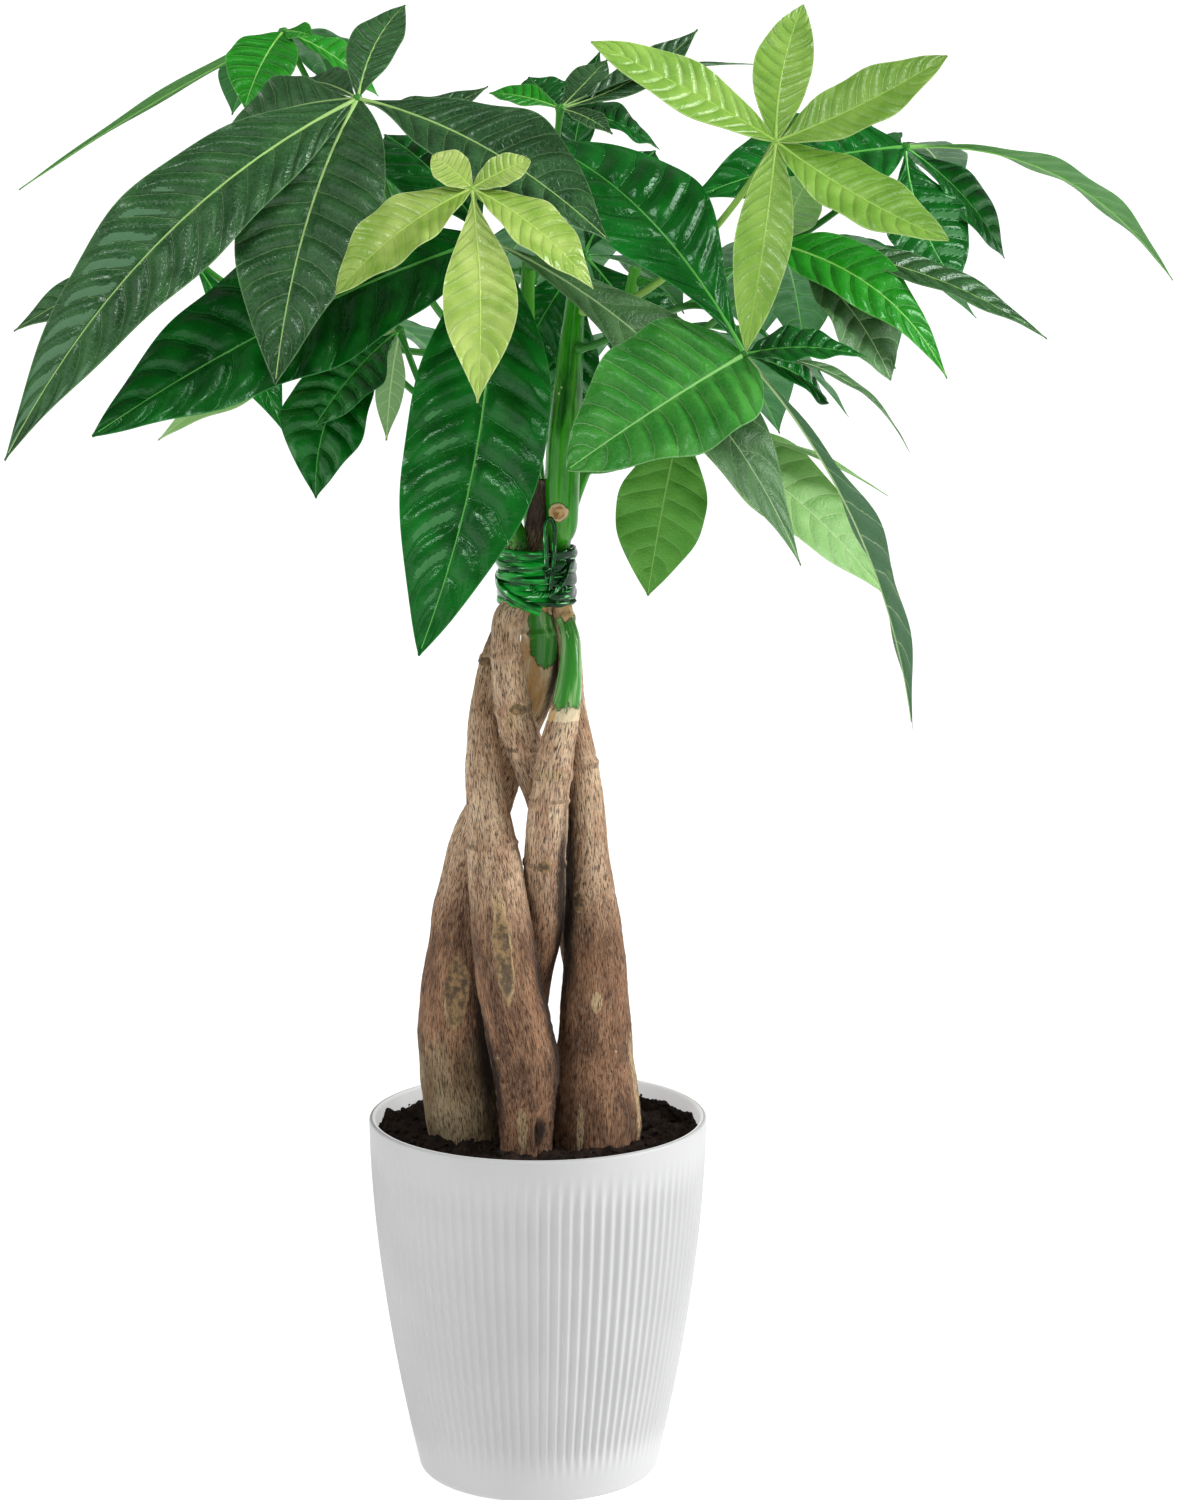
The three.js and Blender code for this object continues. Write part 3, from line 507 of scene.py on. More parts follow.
def wrap_round(bm, place_at, sides, steps, grow=None, note=None, facing=None):
    """Wraps a grid round a line as a closed rod and returns its faces.

    place_at(share) gives the line's middle, direction and radius. grow(turn, length, radius, middle) is added
    to the radius, and note(vert, turn, length, radius) may write what the vertex carries. facing(middle) is
    the direction of turn 0, which is +X unless it is given.
    """
    places = [place_at(step / steps) for step in range(steps + 1)]
    lengths = [0]
    for low, high in zip(places, places[1:]):
        lengths.append(lengths[-1] + (high[0] - low[0]).length)
    grid = bmesh.ops.create_grid(bm, x_segments=sides, y_segments=steps, size=0.5)["verts"]
    faces = list({face for vert in grid for face in vert.link_faces})
    seam, ends = [], []
    for vert in grid:
        turn = (vert.co.x + 0.5) * math.tau
        step = round((vert.co.y + 0.5) * steps)
        middle, direction, radius = places[step]
        if abs(vert.co.x) > 0.5 - MERGE_GAP:
            seam.append(vert)
        sideways = facing(middle).normalized() if facing else Vector((1, 0, 0))
        sideways = sideways - direction * direction.dot(sideways)
        if sideways.length < 0.3:
            sideways = Vector((0, 1, 0)) - direction * direction.y
        sideways.normalize()
        across = direction.cross(sideways)
        reach = radius + (grow(turn, lengths[step], radius, middle) if grow else 0)
        vert.co = middle + (sideways * math.cos(turn) + across * math.sin(turn)) * reach
        if note:
            note(vert, turn, lengths[step], radius)
        if step in (0, steps):
            ends.append(vert)
    bmesh.ops.remove_doubles(bm, verts=seam, dist=MERGE_GAP)
    rims = {edge for vert in ends if vert.is_valid for edge in vert.link_edges if edge.is_boundary}
    faces += bmesh.ops.holes_fill(bm, edges=list(rims), sides=0)["faces"]
    return faces


def side_offset(turn, side):
    """How far the angle turn is from the side in degrees, in radians, from -pi to pi."""
    return (turn - math.radians(side) + math.pi) % math.tau - math.pi


def mark_levels(marks, height, turn, radius):
    """For each kind of mark, 1 in its middle, 0 at its edge and -1 far from it."""
    levels = {}
    for kind, level, side, half_height, *half_width in marks:
        rise = (height - level) / half_height
        reach = radius * side_offset(turn, side) / half_width[0] if half_width else 0
        levels[kind] = max(levels.get(kind, -1), 1 - math.hypot(rise, reach))
    return levels


def bark_growth(marks, seed):
    """How far the bark stands out from a trunk's plain radius."""
    def grow(turn, length, radius, middle):
        levels = mark_levels(marks, middle.z, turn, radius)

        def mark(kind, low, high):
            return ease(levels.get(kind, -1), low, high)

        def grain(fineness, along):
            place = Vector((math.cos(turn) * radius, math.sin(turn) * radius, length * along))
            return noise.noise(place * fineness + Vector((seed * SHAPE_SHIFT, 0, 0)))

        furrows = FURROW_DEPTH * (0.5 - abs(grain(*FURROWS)) + 0.3 * grain(*FINE_GRAIN))
        furrows *= 1 + 2.2 * mark("rough", 0, 0.8) - 0.6 * mark("smooth", 0, 0.5)
        furrows *= 1 - 0.92 * mark("green", -0.02, 0.08)
        ring = RING_RISE * mark("ring", -0.6, 0.9)
        scar = SCAR_DEPTH * (0.6 * mark("scar", -0.3, 0.05) - mark("scar", 0.05, 0.5))
        print_rim = PRINT_RISE * mark("print", -0.1, 0.15)
        form = radius * (LUMP_SHARE * grain(*LUMPS) + FLAT_SHARE * math.cos(2 * turn + seed))
        return furrows + ring + scar + print_rim + form
    return grow


def bark_finish():
    material, mix, shader = new_finish("bark", {"Specular IOR Level": 0.35})
    grain = mix.attribute("grain")
    height = mix.place().axis("Z") * (1 / MM)
    upper, stem = height.rise(*PALER_BARK), height.rise(*DEEPER_GREEN)
    fissures = grain.stretched(1, 1, 0.13).noise(1.9, detail=6, roughness=0.7)
    threads = grain.stretched(1, 1, 0.1).noise(2.2, detail=4, roughness=0.75)
    cloud = grain.stretched(1, 1, 0.3).noise(0.11, detail=5, roughness=0.65)
    patch = grain.stretched(1, 1, 0.5).noise(0.07)
    crust = grain.noise(0.25, detail=6, roughness=0.7)
    specks = mix.node("ShaderNodeTexVoronoi", {}, {"Vector": grain.stretched(1, 1, 0.8), "Scale": 0.1})
    speck = 1 - specks.rise(0.03, 0.07)
    wobble = grain.stretched(1, 1, 0.45).noise(0.5, detail=5, roughness=0.7) - 0.5
    levels = {kind: mix.attribute(kind, "Fac") + wobble * 0.8 for kind in MARK_KINDS}
    masks = {kind: level.rise(-0.06, 0.7 if kind in SOFT_MARKS else 0.06) for kind, level in levels.items()}

    # Brown at the foot and paler above, with light threads of cork and pale specks.
    tone = cloud.rise(0.35, 0.65)
    skin = upper.blend(tone.blend("62402A", "A67A58"), tone.blend("B48664", "ECCCA8"))
    skin = (threads.rise(0.42, 0.7) * (0.25 + 0.45 * upper)).blend(skin, "EED8BC")
    skin = (speck * 0.8).blend(skin, "E3CDAE")
    # Rings, smooth greyer bark, and what is peeled or scraped.
    skin = (masks["ring"] * cloud.rise(0.42, 0.6) * 0.6).blend(skin, "56361F")
    worn = patch.rise(0.35, 0.65).blend("85714F", "CDBB94")
    skin = (masks["smooth"] * 0.75).blend(skin, worn)
    skin = masks["tan"].blend(skin, cloud.rise(0.4, 0.6).blend("E0B47C", "FBE6C0"))
    skin = (masks["pale"] * 0.85).blend(skin, threads.rise(0.3, 0.7).blend("B89468", "E3CDA4"))
    # Healed scars with a pale rim, then the dark furrows, the dead stub and the painted shade between the
    # trunks.
    healed = crust.rise(0.42, 0.60).blend("6A5946", "AC8C62")
    rim = masks["scar"] * (1 - levels["scar"].rise(0.06, 0.22))
    skin = (rim * patch.rise(0.4, 0.6)).blend(masks["scar"].blend(skin, healed), "CDB084")
    even = mix.maths("MAXIMUM", masks["tan"], masks["scar"])
    skin = ((1 - fissures.rise(0.39, 0.53)) * (1 - 0.75 * even) * 0.88).blend(skin, "2A130A")
    skin = ((1 - threads.rise(0.30, 0.44)) * (0.55 - 0.3 * upper)).blend(skin, "4A2E20")
    # Painted shade on the sides where the trunks shade each other, and the dark of the dead stub.
    skin = (masks["dark"] * 0.92).blend(skin, "120804")
    # Green stem, with pale streaks along it that are partly its own striping and partly a painted highlight,
    # and the print of a leaf.
    leafy = stem.blend("3C8E32", cloud.rise(0.3, 0.6).blend("0A5208", "2F9416"))
    streaks_and_sheen = grain.stretched(1, 1, 0.03).noise(0.22).rise(0.48, 0.64)
    green = (streaks_and_sheen * 0.7).blend(leafy, stem.blend("A9D08E", "5CA83A"))
    green = (speck * 0.7).blend(green, "D8E8B8")
    heart = (mix.attribute("print", "Fac") + wobble * 0.4).rise(0.2, 0.34)
    pith = crust.rise(0.42, 0.58).blend("A8743E", "E0B884")
    green = masks["print"].blend(green, heart.blend("F0CFA4", pith))

    bare = 1 - masks["green"] * (1 - masks["print"])
    connect(shader,
            Base_Color=masks["green"].blend(skin, green),
            Roughness=0.16 + 0.68 * bare,
            Normal=(threads * bare).bump(0.22, normal=(fissures * bare).bump(0.9)))
    return material


bark = bark_finish()
for seed, (name, rows) in enumerate(TRUNKS.items()):
    trunk_mesh = bmesh.new()
    grain_layer = trunk_mesh.verts.layers.float_vector.new("grain")
    mark_layers = {kind: trunk_mesh.verts.layers.float.new(kind) for kind in MARK_KINDS}
    marks = MARKS[name]

    def note_bark(vert, turn, length, radius):
        vert[grain_layer] = (math.cos(turn) * radius + seed * GRAIN_SHIFT, math.sin(turn) * radius, length)
        levels = mark_levels(marks, vert.co.z, turn, radius)
        for kind, layer in mark_layers.items():
            vert[layer] = levels.get(kind, -1)

    reach = sum((Vector(b[:3]) - Vector(a[:3])).length for a, b in zip(rows, rows[1:]))
    wrap_round(trunk_mesh, lambda share: trunk_place(rows, share), BARK_SIDES, round(reach / BARK_STEP),
               bark_growth(marks, seed), note_bark)
    bmesh.ops.recalc_face_normals(trunk_mesh, faces=trunk_mesh.faces)
    trunk = finish_piece(trunk_mesh, name.replace("trunk", "bark"), [bark])
    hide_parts(name)
    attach(trunk, "root")


# ------------------------------------------------------------------ tie
# Glossy green stretch film wound tightly round the stems in creased turns. A loose strap of it hangs off in
# front, and two flat strands stand up from a knot with a twisted end below it.
TIE_CENTRE = Vector((0, -2, 0))
TIE_INNER_RADIUS = 17.3
TIE_OUTER_RADIUS = 18.3
TIE_BOTTOM = 419
TIE_TOP = 445
TIE_STEPS = 320
TIE_LEVELS = 90
CREASE_SPACING = 6.2
CREASE_DEPTH = 1
CREASE_ROUNDNESS = 0.4
# How far the turns of film climb from side to side and wander, and how deep the crinkles between them are.
FILM_CLIMB = 1.4
FILM_WANDER = 1.5
CRINKLE_DEPTH = 0.7
HEM_WAVE = 1.1
# x over which a painted light fades, which makes the film brighter green on the left than on the right.
PAINTED_FILM_LIGHT = (2, 6)
# Width and thickness of the strap and of the strands, and how many sides and steps each is made with.
STRAP_SIZE = (4.4, 0.6)
STRAP_GRID = (24, 60)
STRAND_SIZE = (2.1, 0.7)
STRAND_GRID = (20, 90)
# Side in degrees, height and how far out from the film the strap and the twisted end lie.
STRAP_LINE = ((168, 431.5, 0.5), (195, 429, 0.9), (225, 424.5, 1.3), (255, 420, 1.5), (276, 417.5, 1.9))
TWIST_LINE = ((262, 428.5, 0.8), (272, 426, 1.6), (285, 425, 2.2), (300, 428, 2.2), (312, 433, 1.9),
              (321, 439, 1.2))
TWIST_RADIUS = 0.6
TWIST_PITCH = 5
TWIST_LENGTH = 38
TWIST_GRID = (12, 220)
# x, y, z of the standing strands, up, over and down again.
STRAND_LINE = (
    (4.6, -19.6, 431), (4.9, -21.3, 438), (4.6, -21.5, 446), (4.5, -21.3, 456), (6.5, -21.1, 460.3),
    (8.5, -21.3, 456), (8.3, -21.5, 446), (7.8, -21.2, 438), (6.6, -20.6, 427),
)
KNOT_PLACE = Vector((6.4, -20.6, 436))
KNOT_RADIUS = 2.9
KNOT_FLATNESS = 0.6


def film_finish():
    material, mix, shader = new_finish("film", {"IOR": 1.5, "Specular IOR Level": 0.45,
                                                "Specular Tint": (0.5, 1, 0.6, 1)})
    flow = mix.attribute("flow")
    # Painted light: the film is brighter green on its left.
    painted_left_light = 1 - (mix.place().axis("X") * (1 / MM)).rise(*PAINTED_FILM_LIGHT)
    # Painted sheen and glints: bright green bands among near-black ones, and thin glints of bright green and
    # white.
    sheen_bands = flow.stretched(0.06, 0.45, 0.06).noise(1, detail=2, roughness=0.5)
    painted_glints = flow.stretched(0.11, 0.9, 0.11).noise(1, detail=2, roughness=0.5)
    skin = sheen_bands.rise(0.40, 0.62).blend(painted_left_light.blend("000A02", "02300A"), painted_left_light.blend("04380E", "12A030"))
    skin = painted_glints.rise(0.60, 0.63).blend(skin, "35C455")
    skin = painted_glints.rise(0.67, 0.69).blend(skin, "F4FFF6")
    connect(shader, Base_Color=skin, Roughness=0.04 + 0.1 * sheen_bands)
    return material


def film_place(rows, share):
    """A place on the film and its distance out, at that share of rows of side, height and distance."""
    side, height, out = along_rows(rows, share)[0]
    outward = Vector((math.cos(math.radians(side)), math.sin(math.radians(side)), 0))
    return TIE_CENTRE + outward * (TIE_OUTER_RADIUS + out) + Vector((0, 0, height))


def flat_section(size):
    """grow for wrap_round, where the rod's radius is 1 and turn 0 points out of the strip's flat face."""
    def grow(turn, length, radius, middle):
        return 1 / math.hypot(math.sin(turn) * 2 / size[0], math.cos(turn) * 2 / size[1]) - radius
    return grow


def along_line(place_of):
    """place_at for wrap_round, of radius 1, along place_of(share)."""
    def place_at(share):
        ahead = place_of(min(share + 0.01, 1)) - place_of(max(share - 0.01, 0))
        return place_of(share), ahead.normalized(), 1
    return place_at


tie_mesh = spun([
    *[(TIE_OUTER_RADIUS, TIE_BOTTOM + (TIE_TOP - TIE_BOTTOM) * level / TIE_LEVELS)
      for level in range(TIE_LEVELS + 1)],
    (TIE_INNER_RADIUS, TIE_TOP), (TIE_INNER_RADIUS, TIE_BOTTOM), (TIE_OUTER_RADIUS, TIE_BOTTOM),
], TIE_STEPS)
flow_layer = tie_mesh.verts.layers.float_vector.new("flow")
for vert in tie_mesh.verts:
    turn, height = math.atan2(vert.co.y, vert.co.x), vert.co.z
    vert[flow_layer] = (turn * TIE_OUTER_RADIUS, height, 0)
    if math.hypot(vert.co.x, vert.co.y) > (TIE_INNER_RADIUS + TIE_OUTER_RADIUS) / 2:
        round_place = Vector((math.cos(turn), math.sin(turn), 0)) * 2.2
        level = height + FILM_CLIMB * math.sin(turn + 0.5) + FILM_WANDER * noise.noise(round_place)
        crease = CREASE_DEPTH * (abs(math.sin(math.pi * level / CREASE_SPACING)) ** CREASE_ROUNDNESS - 0.6)
        crinkle = CRINKLE_DEPTH * noise.noise(round_place * 0.9 + Vector((0, 0, height * 0.25)))
        ends = ease(height, TIE_BOTTOM, TIE_BOTTOM + 1) * (1 - ease(height, TIE_TOP - 1, TIE_TOP))
        reach = TIE_OUTER_RADIUS + (crease + crinkle) * ends
        vert.co = Vector((math.cos(turn) * reach, math.sin(turn) * reach, height))
        vert.co.z += HEM_WAVE * noise.noise(round_place + Vector((0, 0, 7))) * (1 - ends)
    vert.co += TIE_CENTRE


def note_flow(vert, turn, length, radius):
    vert[flow_layer] = (length, math.sin(turn) * 3, 0)


def outward_of(middle):
    return Vector((middle.x - TIE_CENTRE.x, middle.y - TIE_CENTRE.y, 0))


wrap_round(tie_mesh, along_line(lambda share: film_place(STRAP_LINE, share)), *STRAP_GRID,
           flat_section(STRAP_SIZE), note_flow, outward_of)
wrap_round(tie_mesh, along_line(lambda share: Vector(along_rows(STRAND_LINE, share)[0])), *STRAND_GRID,
           flat_section(STRAND_SIZE), note_flow, lambda middle: Vector((0, -1, 0)))
for half in (0, math.pi):
    def twisted(share):
        middle = film_place(TWIST_LINE, share)
        angle = half + share * math.tau * TWIST_LENGTH / TWIST_PITCH
        outward = outward_of(middle).normalized()
        return middle + (outward * math.cos(angle) + Vector((0, 0, 1)) * math.sin(angle)) * TWIST_RADIUS * 0.9
    wrap_round(tie_mesh, along_line(twisted), *TWIST_GRID,
               lambda turn, length, radius, middle: TWIST_RADIUS - radius, note_flow)
knot = bmesh.ops.create_icosphere(tie_mesh, subdivisions=5, radius=KNOT_RADIUS)["verts"]
for vert in knot:
    vert[flow_layer] = vert.co * 1.5
    crumple = 0.72 + abs(noise.noise(Vector((vert.co.x * 0.45, vert.co.y * 0.6, vert.co.z * 0.9))))
    vert.co = KNOT_PLACE + Vector((vert.co.x, vert.co.y * KNOT_FLATNESS, vert.co.z)) * crumple
bmesh.ops.recalc_face_normals(tie_mesh, faces=tie_mesh.faces)
tie = finish_piece(tie_mesh, "film_tie", [film_finish()])
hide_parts("tie")
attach(tie, "root")


# ------------------------------------------------------------------ leaves
# A leaf is a round stalk with a knob at its end and a fan of thin, glossy leaflets, quilted between their
# side veins and folded up along a pale midrib. Leaves grow singly from the green stems, the youngest lime.
# A row gives the trunk and height that the leaf grows from, its knob and where its stalk bends, then each
# leaflet's look, tip x, y, z, width, arch, sideways bow, lean towards +X and +Y, and its outline if unusual.
# The bow and the lean are 0 where a leaflet's row ends before them.
LEAVES = {
    "leaf_upper_left": dict(stem="trunk_back", height=545, hub=(-78, -45, 650), blades=[
        ("grey", -59, 5, 691, 24, 3, -3, 0, -0.6, 0.5, 1),
        ("grey", -231, -95, 495, 52, 34, 2, -0.2, -1.6, 0.44, 1.05),
        ("grey", -110, -125, 531, 64, 12, 2, 0, -0.3, 0.44, 0.95),
        ("grey", 33, -91, 590, 58, 12, 0, 0.2, -0.8), ("grey", -143, 0, 631, 40, 6, 0, -0.3, -1),
        ("grey", -112, 28, 655, 28, 4, 0, 0, -0.8), ("grey", -21, -20, 655, 26, -8, 0, 0, -0.3),
    ]),
    "leaf_front_new": dict(stem="trunk_center", height=574, hub=(-26, -105, 613), via=(-2, -80, 590), blades=[
        ("lime", -84, -120, 569, 35, 6, 0, -0.2, -0.8, 0.5, 0.85), ("lime", -23, -145, 525, 32, 6, -2),
        ("lime", 26, -115, 571, 29, 6, 0, 0.2, -0.8, 0.5, 1.1),
        ("lime", -43, -100, 627, 17, 2, 0, 0, -1.5, 0.56, 0.7),
        ("lime", -1, -100, 625, 15, 2, 0, 0, -1.5, 0.56, 0.7),
    ]),
    "leaf_right_new": dict(stem="trunk_center", height=555, hub=(106, -70, 632), blades=[
        ("spring", 25, -75, 675, 29, 0, 2, 0, -1, 0.5, 0.85),
        ("spring", 119, -40, 691, 26, 3, -3, 0, -1, 0.5, 0.85),
        ("spring", 180, -75, 669, 31, -1, 2, 0, -1, 0.5, 0.85),
        ("spring", 179, -105, 591, 34, -2, 2, 0.2, -1, 0.5, 0.85),
        ("spring", 92, -110, 544, 25, 6, -2, 0, -0.3, 0.5, 0.85),
    ]),
    "leaf_front_right": dict(stem="trunk_center", height=538, hub=(92, -95, 541), via=(82, -24, 584), blades=[
        ("mid", 15, -125, 494, 76, 6, -3, -0.2, -1, 0.35, 0.75), ("deep", 0, -15, 631, 62, 18, 0, 0, -0.5),
        ("deep", 145, -95, 540, 32, 4, 0, 0, -0.4, 0.4, 1.25),
        ("dusty", 164, -135, 383, 56, 14, 0, 0.4, 0.3, 0.6, 1.25), ("deep", 130, -50, 517, 34, 5, 2, 0, -1),
        ("dusty", 167, -60, 495, 14, 13, 0, 0, -0.4),
    ]),
    "leaf_front": dict(stem="trunk_back", height=505, hub=(-21, -55, 589), blades=[
        ("deep", -49, -135, 415, 64, 14, -15, 0, -0.2, 0.5, 0.9),
        ("deep", -192, -100, 506, 70, 12, 0, -0.1, -1.2, 0.46, 0.9),
        ("dusty", 119, -60, 444, 50, 14, -14, 0.2, -0.7), ("deep", -69, 5, 633, 50, 6, 0, 0, -0.5),
    ]),
    "leaf_lower_left": dict(stem="trunk_back", height=480, hub=(-62, -10, 545), blades=[
        ("deep", -99, -40, 472, 46, 8, 9, 0, -0.4, 0.6, 1.1),
        ("deep", -100, -30, 503, 56, 6, -4, 0, -0.2, 0.6, 1.1),
        ("pale", -173, -10, 495, 34, 10, 0, 0, -0.6), ("pale", -70, 20, 492, 14, 4),
    ]),
    "leaf_far_left": dict(stem="trunk_left", height=530, hub=(-161, 30, 577), blades=[
        ("grey", -245, 40, 541, 28, 5, 0, 0, -0.7), ("grey", -218, 90, 544, 30, 8),
        ("deep", -215, 110, 575, 30, 8), ("deep", -118, 20, 496, 26, 6, 0, 0, -0.6),
    ]),
    "leaf_top_left": dict(stem="trunk_left", height=549, hub=(-118, 55, 679), blades=[
        ("bright", -134, 25, 645, 34, 5, 0, 0, -0.7, 0.5, 0.9),
        ("bright", -104, 45, 677, 14, 1, 0, 0, -0.7), ("bright", -243, 55, 606, 13, 3, 0, 0, 0.3, 0.3, 1.1),
        ("deep", -146, 95, 640, 30, 6), ("bright", -75, 70, 649, 30, 4, 0, 0, -0.5),
        ("deep", -100, 140, 650, 34, 10),
    ]),
    "leaf_top": dict(stem="trunk_left", height=572, hub=(11, 30, 644), blades=[
        ("bright", -22, 40, 651, 20, 2, 0, 0, -0.5), ("deep", -4, 66, 658, 24, 0, 0, 0, -0.8),
        ("grey", 33, 80, 666, 18, 0, 0, 0, -0.8), ("grey", 75, 60, 680, 22, 0, 7, 0, -0.8),
        ("grey", 102, 60, 664, 22, 6), ("deep", 20, 130, 640, 34, 8),
        ("grey", 35, 15, 633, 14, 2, 0, 0, -0.5), ("deep", 57, 50, 625, 34, 4, 0, 0, -0.5),
    ]),
    "leaf_far_right": dict(stem="trunk_right", height=566, hub=(169, 15, 627), blades=[
        ("deep", 194, 5, 563, 50, 2, 9, 0, -0.3), ("bright", 294, 20, 566, 34, 20, 0, 0, 0.2),
        ("deep", 218, 40, 575, 30, 6, 0, 0, -0.8), ("deep", 70, -20, 605, 56, 6, 0, 0, -0.9, 0.4, 1.1),
        ("grey", 200, 110, 600, 30, 10), ("deep", 140, 100, 610, 36, 10),
    ]),
    "leaf_right": dict(stem="trunk_right", height=530, hub=(110, -35, 585), blades=[
        ("dusty", 159, -50, 526, 50, 6, -2, 0, -0.3, 0.62, 1), ("deep", 166, -20, 546, 30, 6),
        ("bright", 185, -40, 526, 36, 16, 0, 0, -0.8, 0.3, 1.1),
        ("grey", 232, -20, 542, 26, 10, 0, 0, -0.5), ("pale", 124, -40, 618, 30, 3, 0, 0, -0.8),
        ("deep", 125, 35, 530, 34, 8),
    ]),
    "leaf_lower_right": dict(stem="trunk_right", height=480, hub=(66, -20, 504), blades=[
        ("soft", 51, -42, 428, 42, 4, 0, 0, -0.5, 0.52, 1),
        ("pale", 158, -22, 427, 46, 10, 0, 0, -0.7, 0.46, 1), ("pale", 161, -15, 470, 22, 6),
        ("deep", 60, 50, 470, 34, 8),
    ]),
    "leaf_inner": dict(stem="trunk_left", height=512, hub=(22, 62, 575), blades=[
        ("deep", 12, 85, 480, 50, 10, 0, 0, -0.4), ("deep", 62, 66, 510, 44, 8, 0, 0, -0.8),
        ("deep", -18, 52, 505, 38, 6, 0, 0, -0.8), ("deep", 70, 100, 545, 36, 8),
        ("deep", 56, 95, 623, 50, 8, 0, 0, -0.8),
    ]),
    "leaf_back_left": dict(stem="trunk_left", height=569, hub=(-75, 120, 610), blades=[
        ("deep", -190, 150, 560, 54, 14), ("deep", -140, 215, 540, 56, 14), ("deep", -70, 235, 560, 54, 14),
        ("deep", -10, 190, 590, 36, 10),
    ]),
    "leaf_back": dict(stem="trunk_left", height=563, hub=(15, 130, 600), via=(10, 90, 604), blades=[
        ("deep", 10, 250, 530, 56, 14), ("deep", 80, 235, 540, 54, 14), ("deep", -45, 220, 510, 42, 12),
        ("deep", 30, 150, 670, 26, 5), ("deep", 75, 160, 600, 32, 8),
    ]),
    "leaf_back_right": dict(stem="trunk_right", height=550, hub=(105, 105, 580), blades=[
        ("deep", 215, 140, 540, 54, 14), ("deep", 180, 200, 510, 56, 14), ("deep", 110, 220, 520, 54, 14),
        ("deep", 150, 90, 640, 28, 5),
    ]),
    "leaf_low_back_left": dict(stem="trunk_left", height=495, hub=(-95, 85, 550), blades=[
        ("deep", -180, 100, 500, 52, 14), ("deep", -150, 170, 495, 54, 14), ("deep", -90, 185, 495, 54, 14),
        ("deep", -35, 140, 500, 34, 10),
    ]),
    "leaf_low_back_right": dict(stem="trunk_right", height=500, hub=(60, 90, 540), blades=[
        ("deep", 150, 100, 495, 52, 14), ("deep", 120, 170, 480, 54, 14), ("deep", 60, 190, 490, 54, 14),
        ("deep", 0, 140, 495, 34, 10),
    ]),
}
# How each look is coloured: in its hollows and on its swells, on veins, midrib and underside. veins counts
# the side veins on each side of the midrib, quilt is how far the blade swells between them as a share of its
# width, show and net how plainly its side veins and its finest veins stand out, rough its roughness and tint
# the colour of its gloss.
LOOKS = {
    "grey": dict(deep="0E3A18", fresh="396B38", vein="86B272", rib="A6D078", under="55805A", stalk="3E8A2C",
                 tint=(0.85, 1, 0.9, 1), veins=13, quilt=0.040, show=0.2, rough=0.26, net=0.2),
    "deep": dict(deep="013C0A", fresh="0C7A1E", vein="3C9846", rib="62B850", under="3F7F45", stalk="2F7D23",
                 tint=(0.62, 1, 0.72, 1), veins=10, quilt=0.044, show=0.16, rough=0.25, net=0.1),
    "mid": dict(deep="1C7A20", fresh="50A83C", vein="A2CC8E", rib="94D678", under="5E9A58", stalk="2F7D23",
                tint=(0.75, 1, 0.8, 1), veins=12, quilt=0.040, show=0.16, rough=0.32, net=0.2),
    "bright": dict(deep="0A7A0A", fresh="2AA01E", vein="78C45E", rib="98DC6A", under="5E9A50", stalk="3E8A2C",
                   tint=(0.65, 1, 0.7, 1), veins=12, quilt=0.034, show=0.16, rough=0.28, net=0.12),
    "dusty": dict(deep="265426", fresh="5A8C50", vein="A6C694", rib="B6D698", under="44744A", stalk="3E8A2C",
                  tint=(0.9, 1, 0.92, 1), veins=10, quilt=0.024, show=0.36, rough=0.42, net=0.3),
    "lime": dict(deep="709E20", fresh="CAE07C", vein="E4F0B4", rib="B4D664", under="A2C470", stalk="8FBF50",
                 tint=(1, 1, 0.94, 1), veins=16, quilt=0.018, show=0.05, rough=0.28, net=0.1),
    "spring": dict(deep="548E1A", fresh="98C454", vein="D2E8A4", rib="A4D058", under="94BC62", stalk="8FBF50",
                   tint=(1, 1, 0.94, 1), veins=16, quilt=0.018, show=0.05, rough=0.28, net=0.1),
    "soft": dict(deep="4E962E", fresh="74B84C", vein="86BC66", rib="96CC6C", under="5E9A48", stalk="3E8A2C",
                 tint=(0.8, 1, 0.8, 1), veins=11, quilt=0.012, show=0.2, rough=0.5, net=0.2),
    "pale": dict(deep="76B054", fresh="9ACA7C", vein="C4DEA8", rib="B4D890", under="86B074", stalk="3E8A2C",
                 tint=(0.9, 1, 0.9, 1), veins=12, quilt=0.014, show=0.2, rough=0.5, net=0.2),
}
YOUNG_LOOKS = ("lime", "spring")
# How far along a blade is widest, and how far its foot and tip are drawn out.
USUAL_OUTLINE = (0.56, 1.25)
BLADE_THICKNESS = 0.4
BLADE_FOLD = 0.16
BLADE_STEP = 1.5
# Half width of a blade at its very foot and tip.
BLADE_ENDS = (0.9, 0.5)
MARGIN_WAVE = 0.035
SWELL_ROUNDNESS = 1.4
# How far forward side veins run, straight and then curved, as shares of the blade's length.
VEIN_SWEEP = (0.05, 0.06)
# A blade of this length has its look's number of side veins, and longer ones have a few more.
VEIN_LENGTH = 150
VEIN_GROWTH = 0.35
FEWEST_VEINS = 8
QUILT_RELIEF = 18
# Radius of the midrib at its foot, behind it and at its tip, on a blade of the full width.
RIB_RADII = (1.25, 0.85, 0.3)
FULL_WIDTH = 60
RIB_SIDES = 8
RIB_STEP = 2
HUB_RADIUS = 2.3
YOUNG_HUB = 0.7
HUB_LUMPS = 0.3
STALK_SIDES = 14
STALK_STEP = 1.5
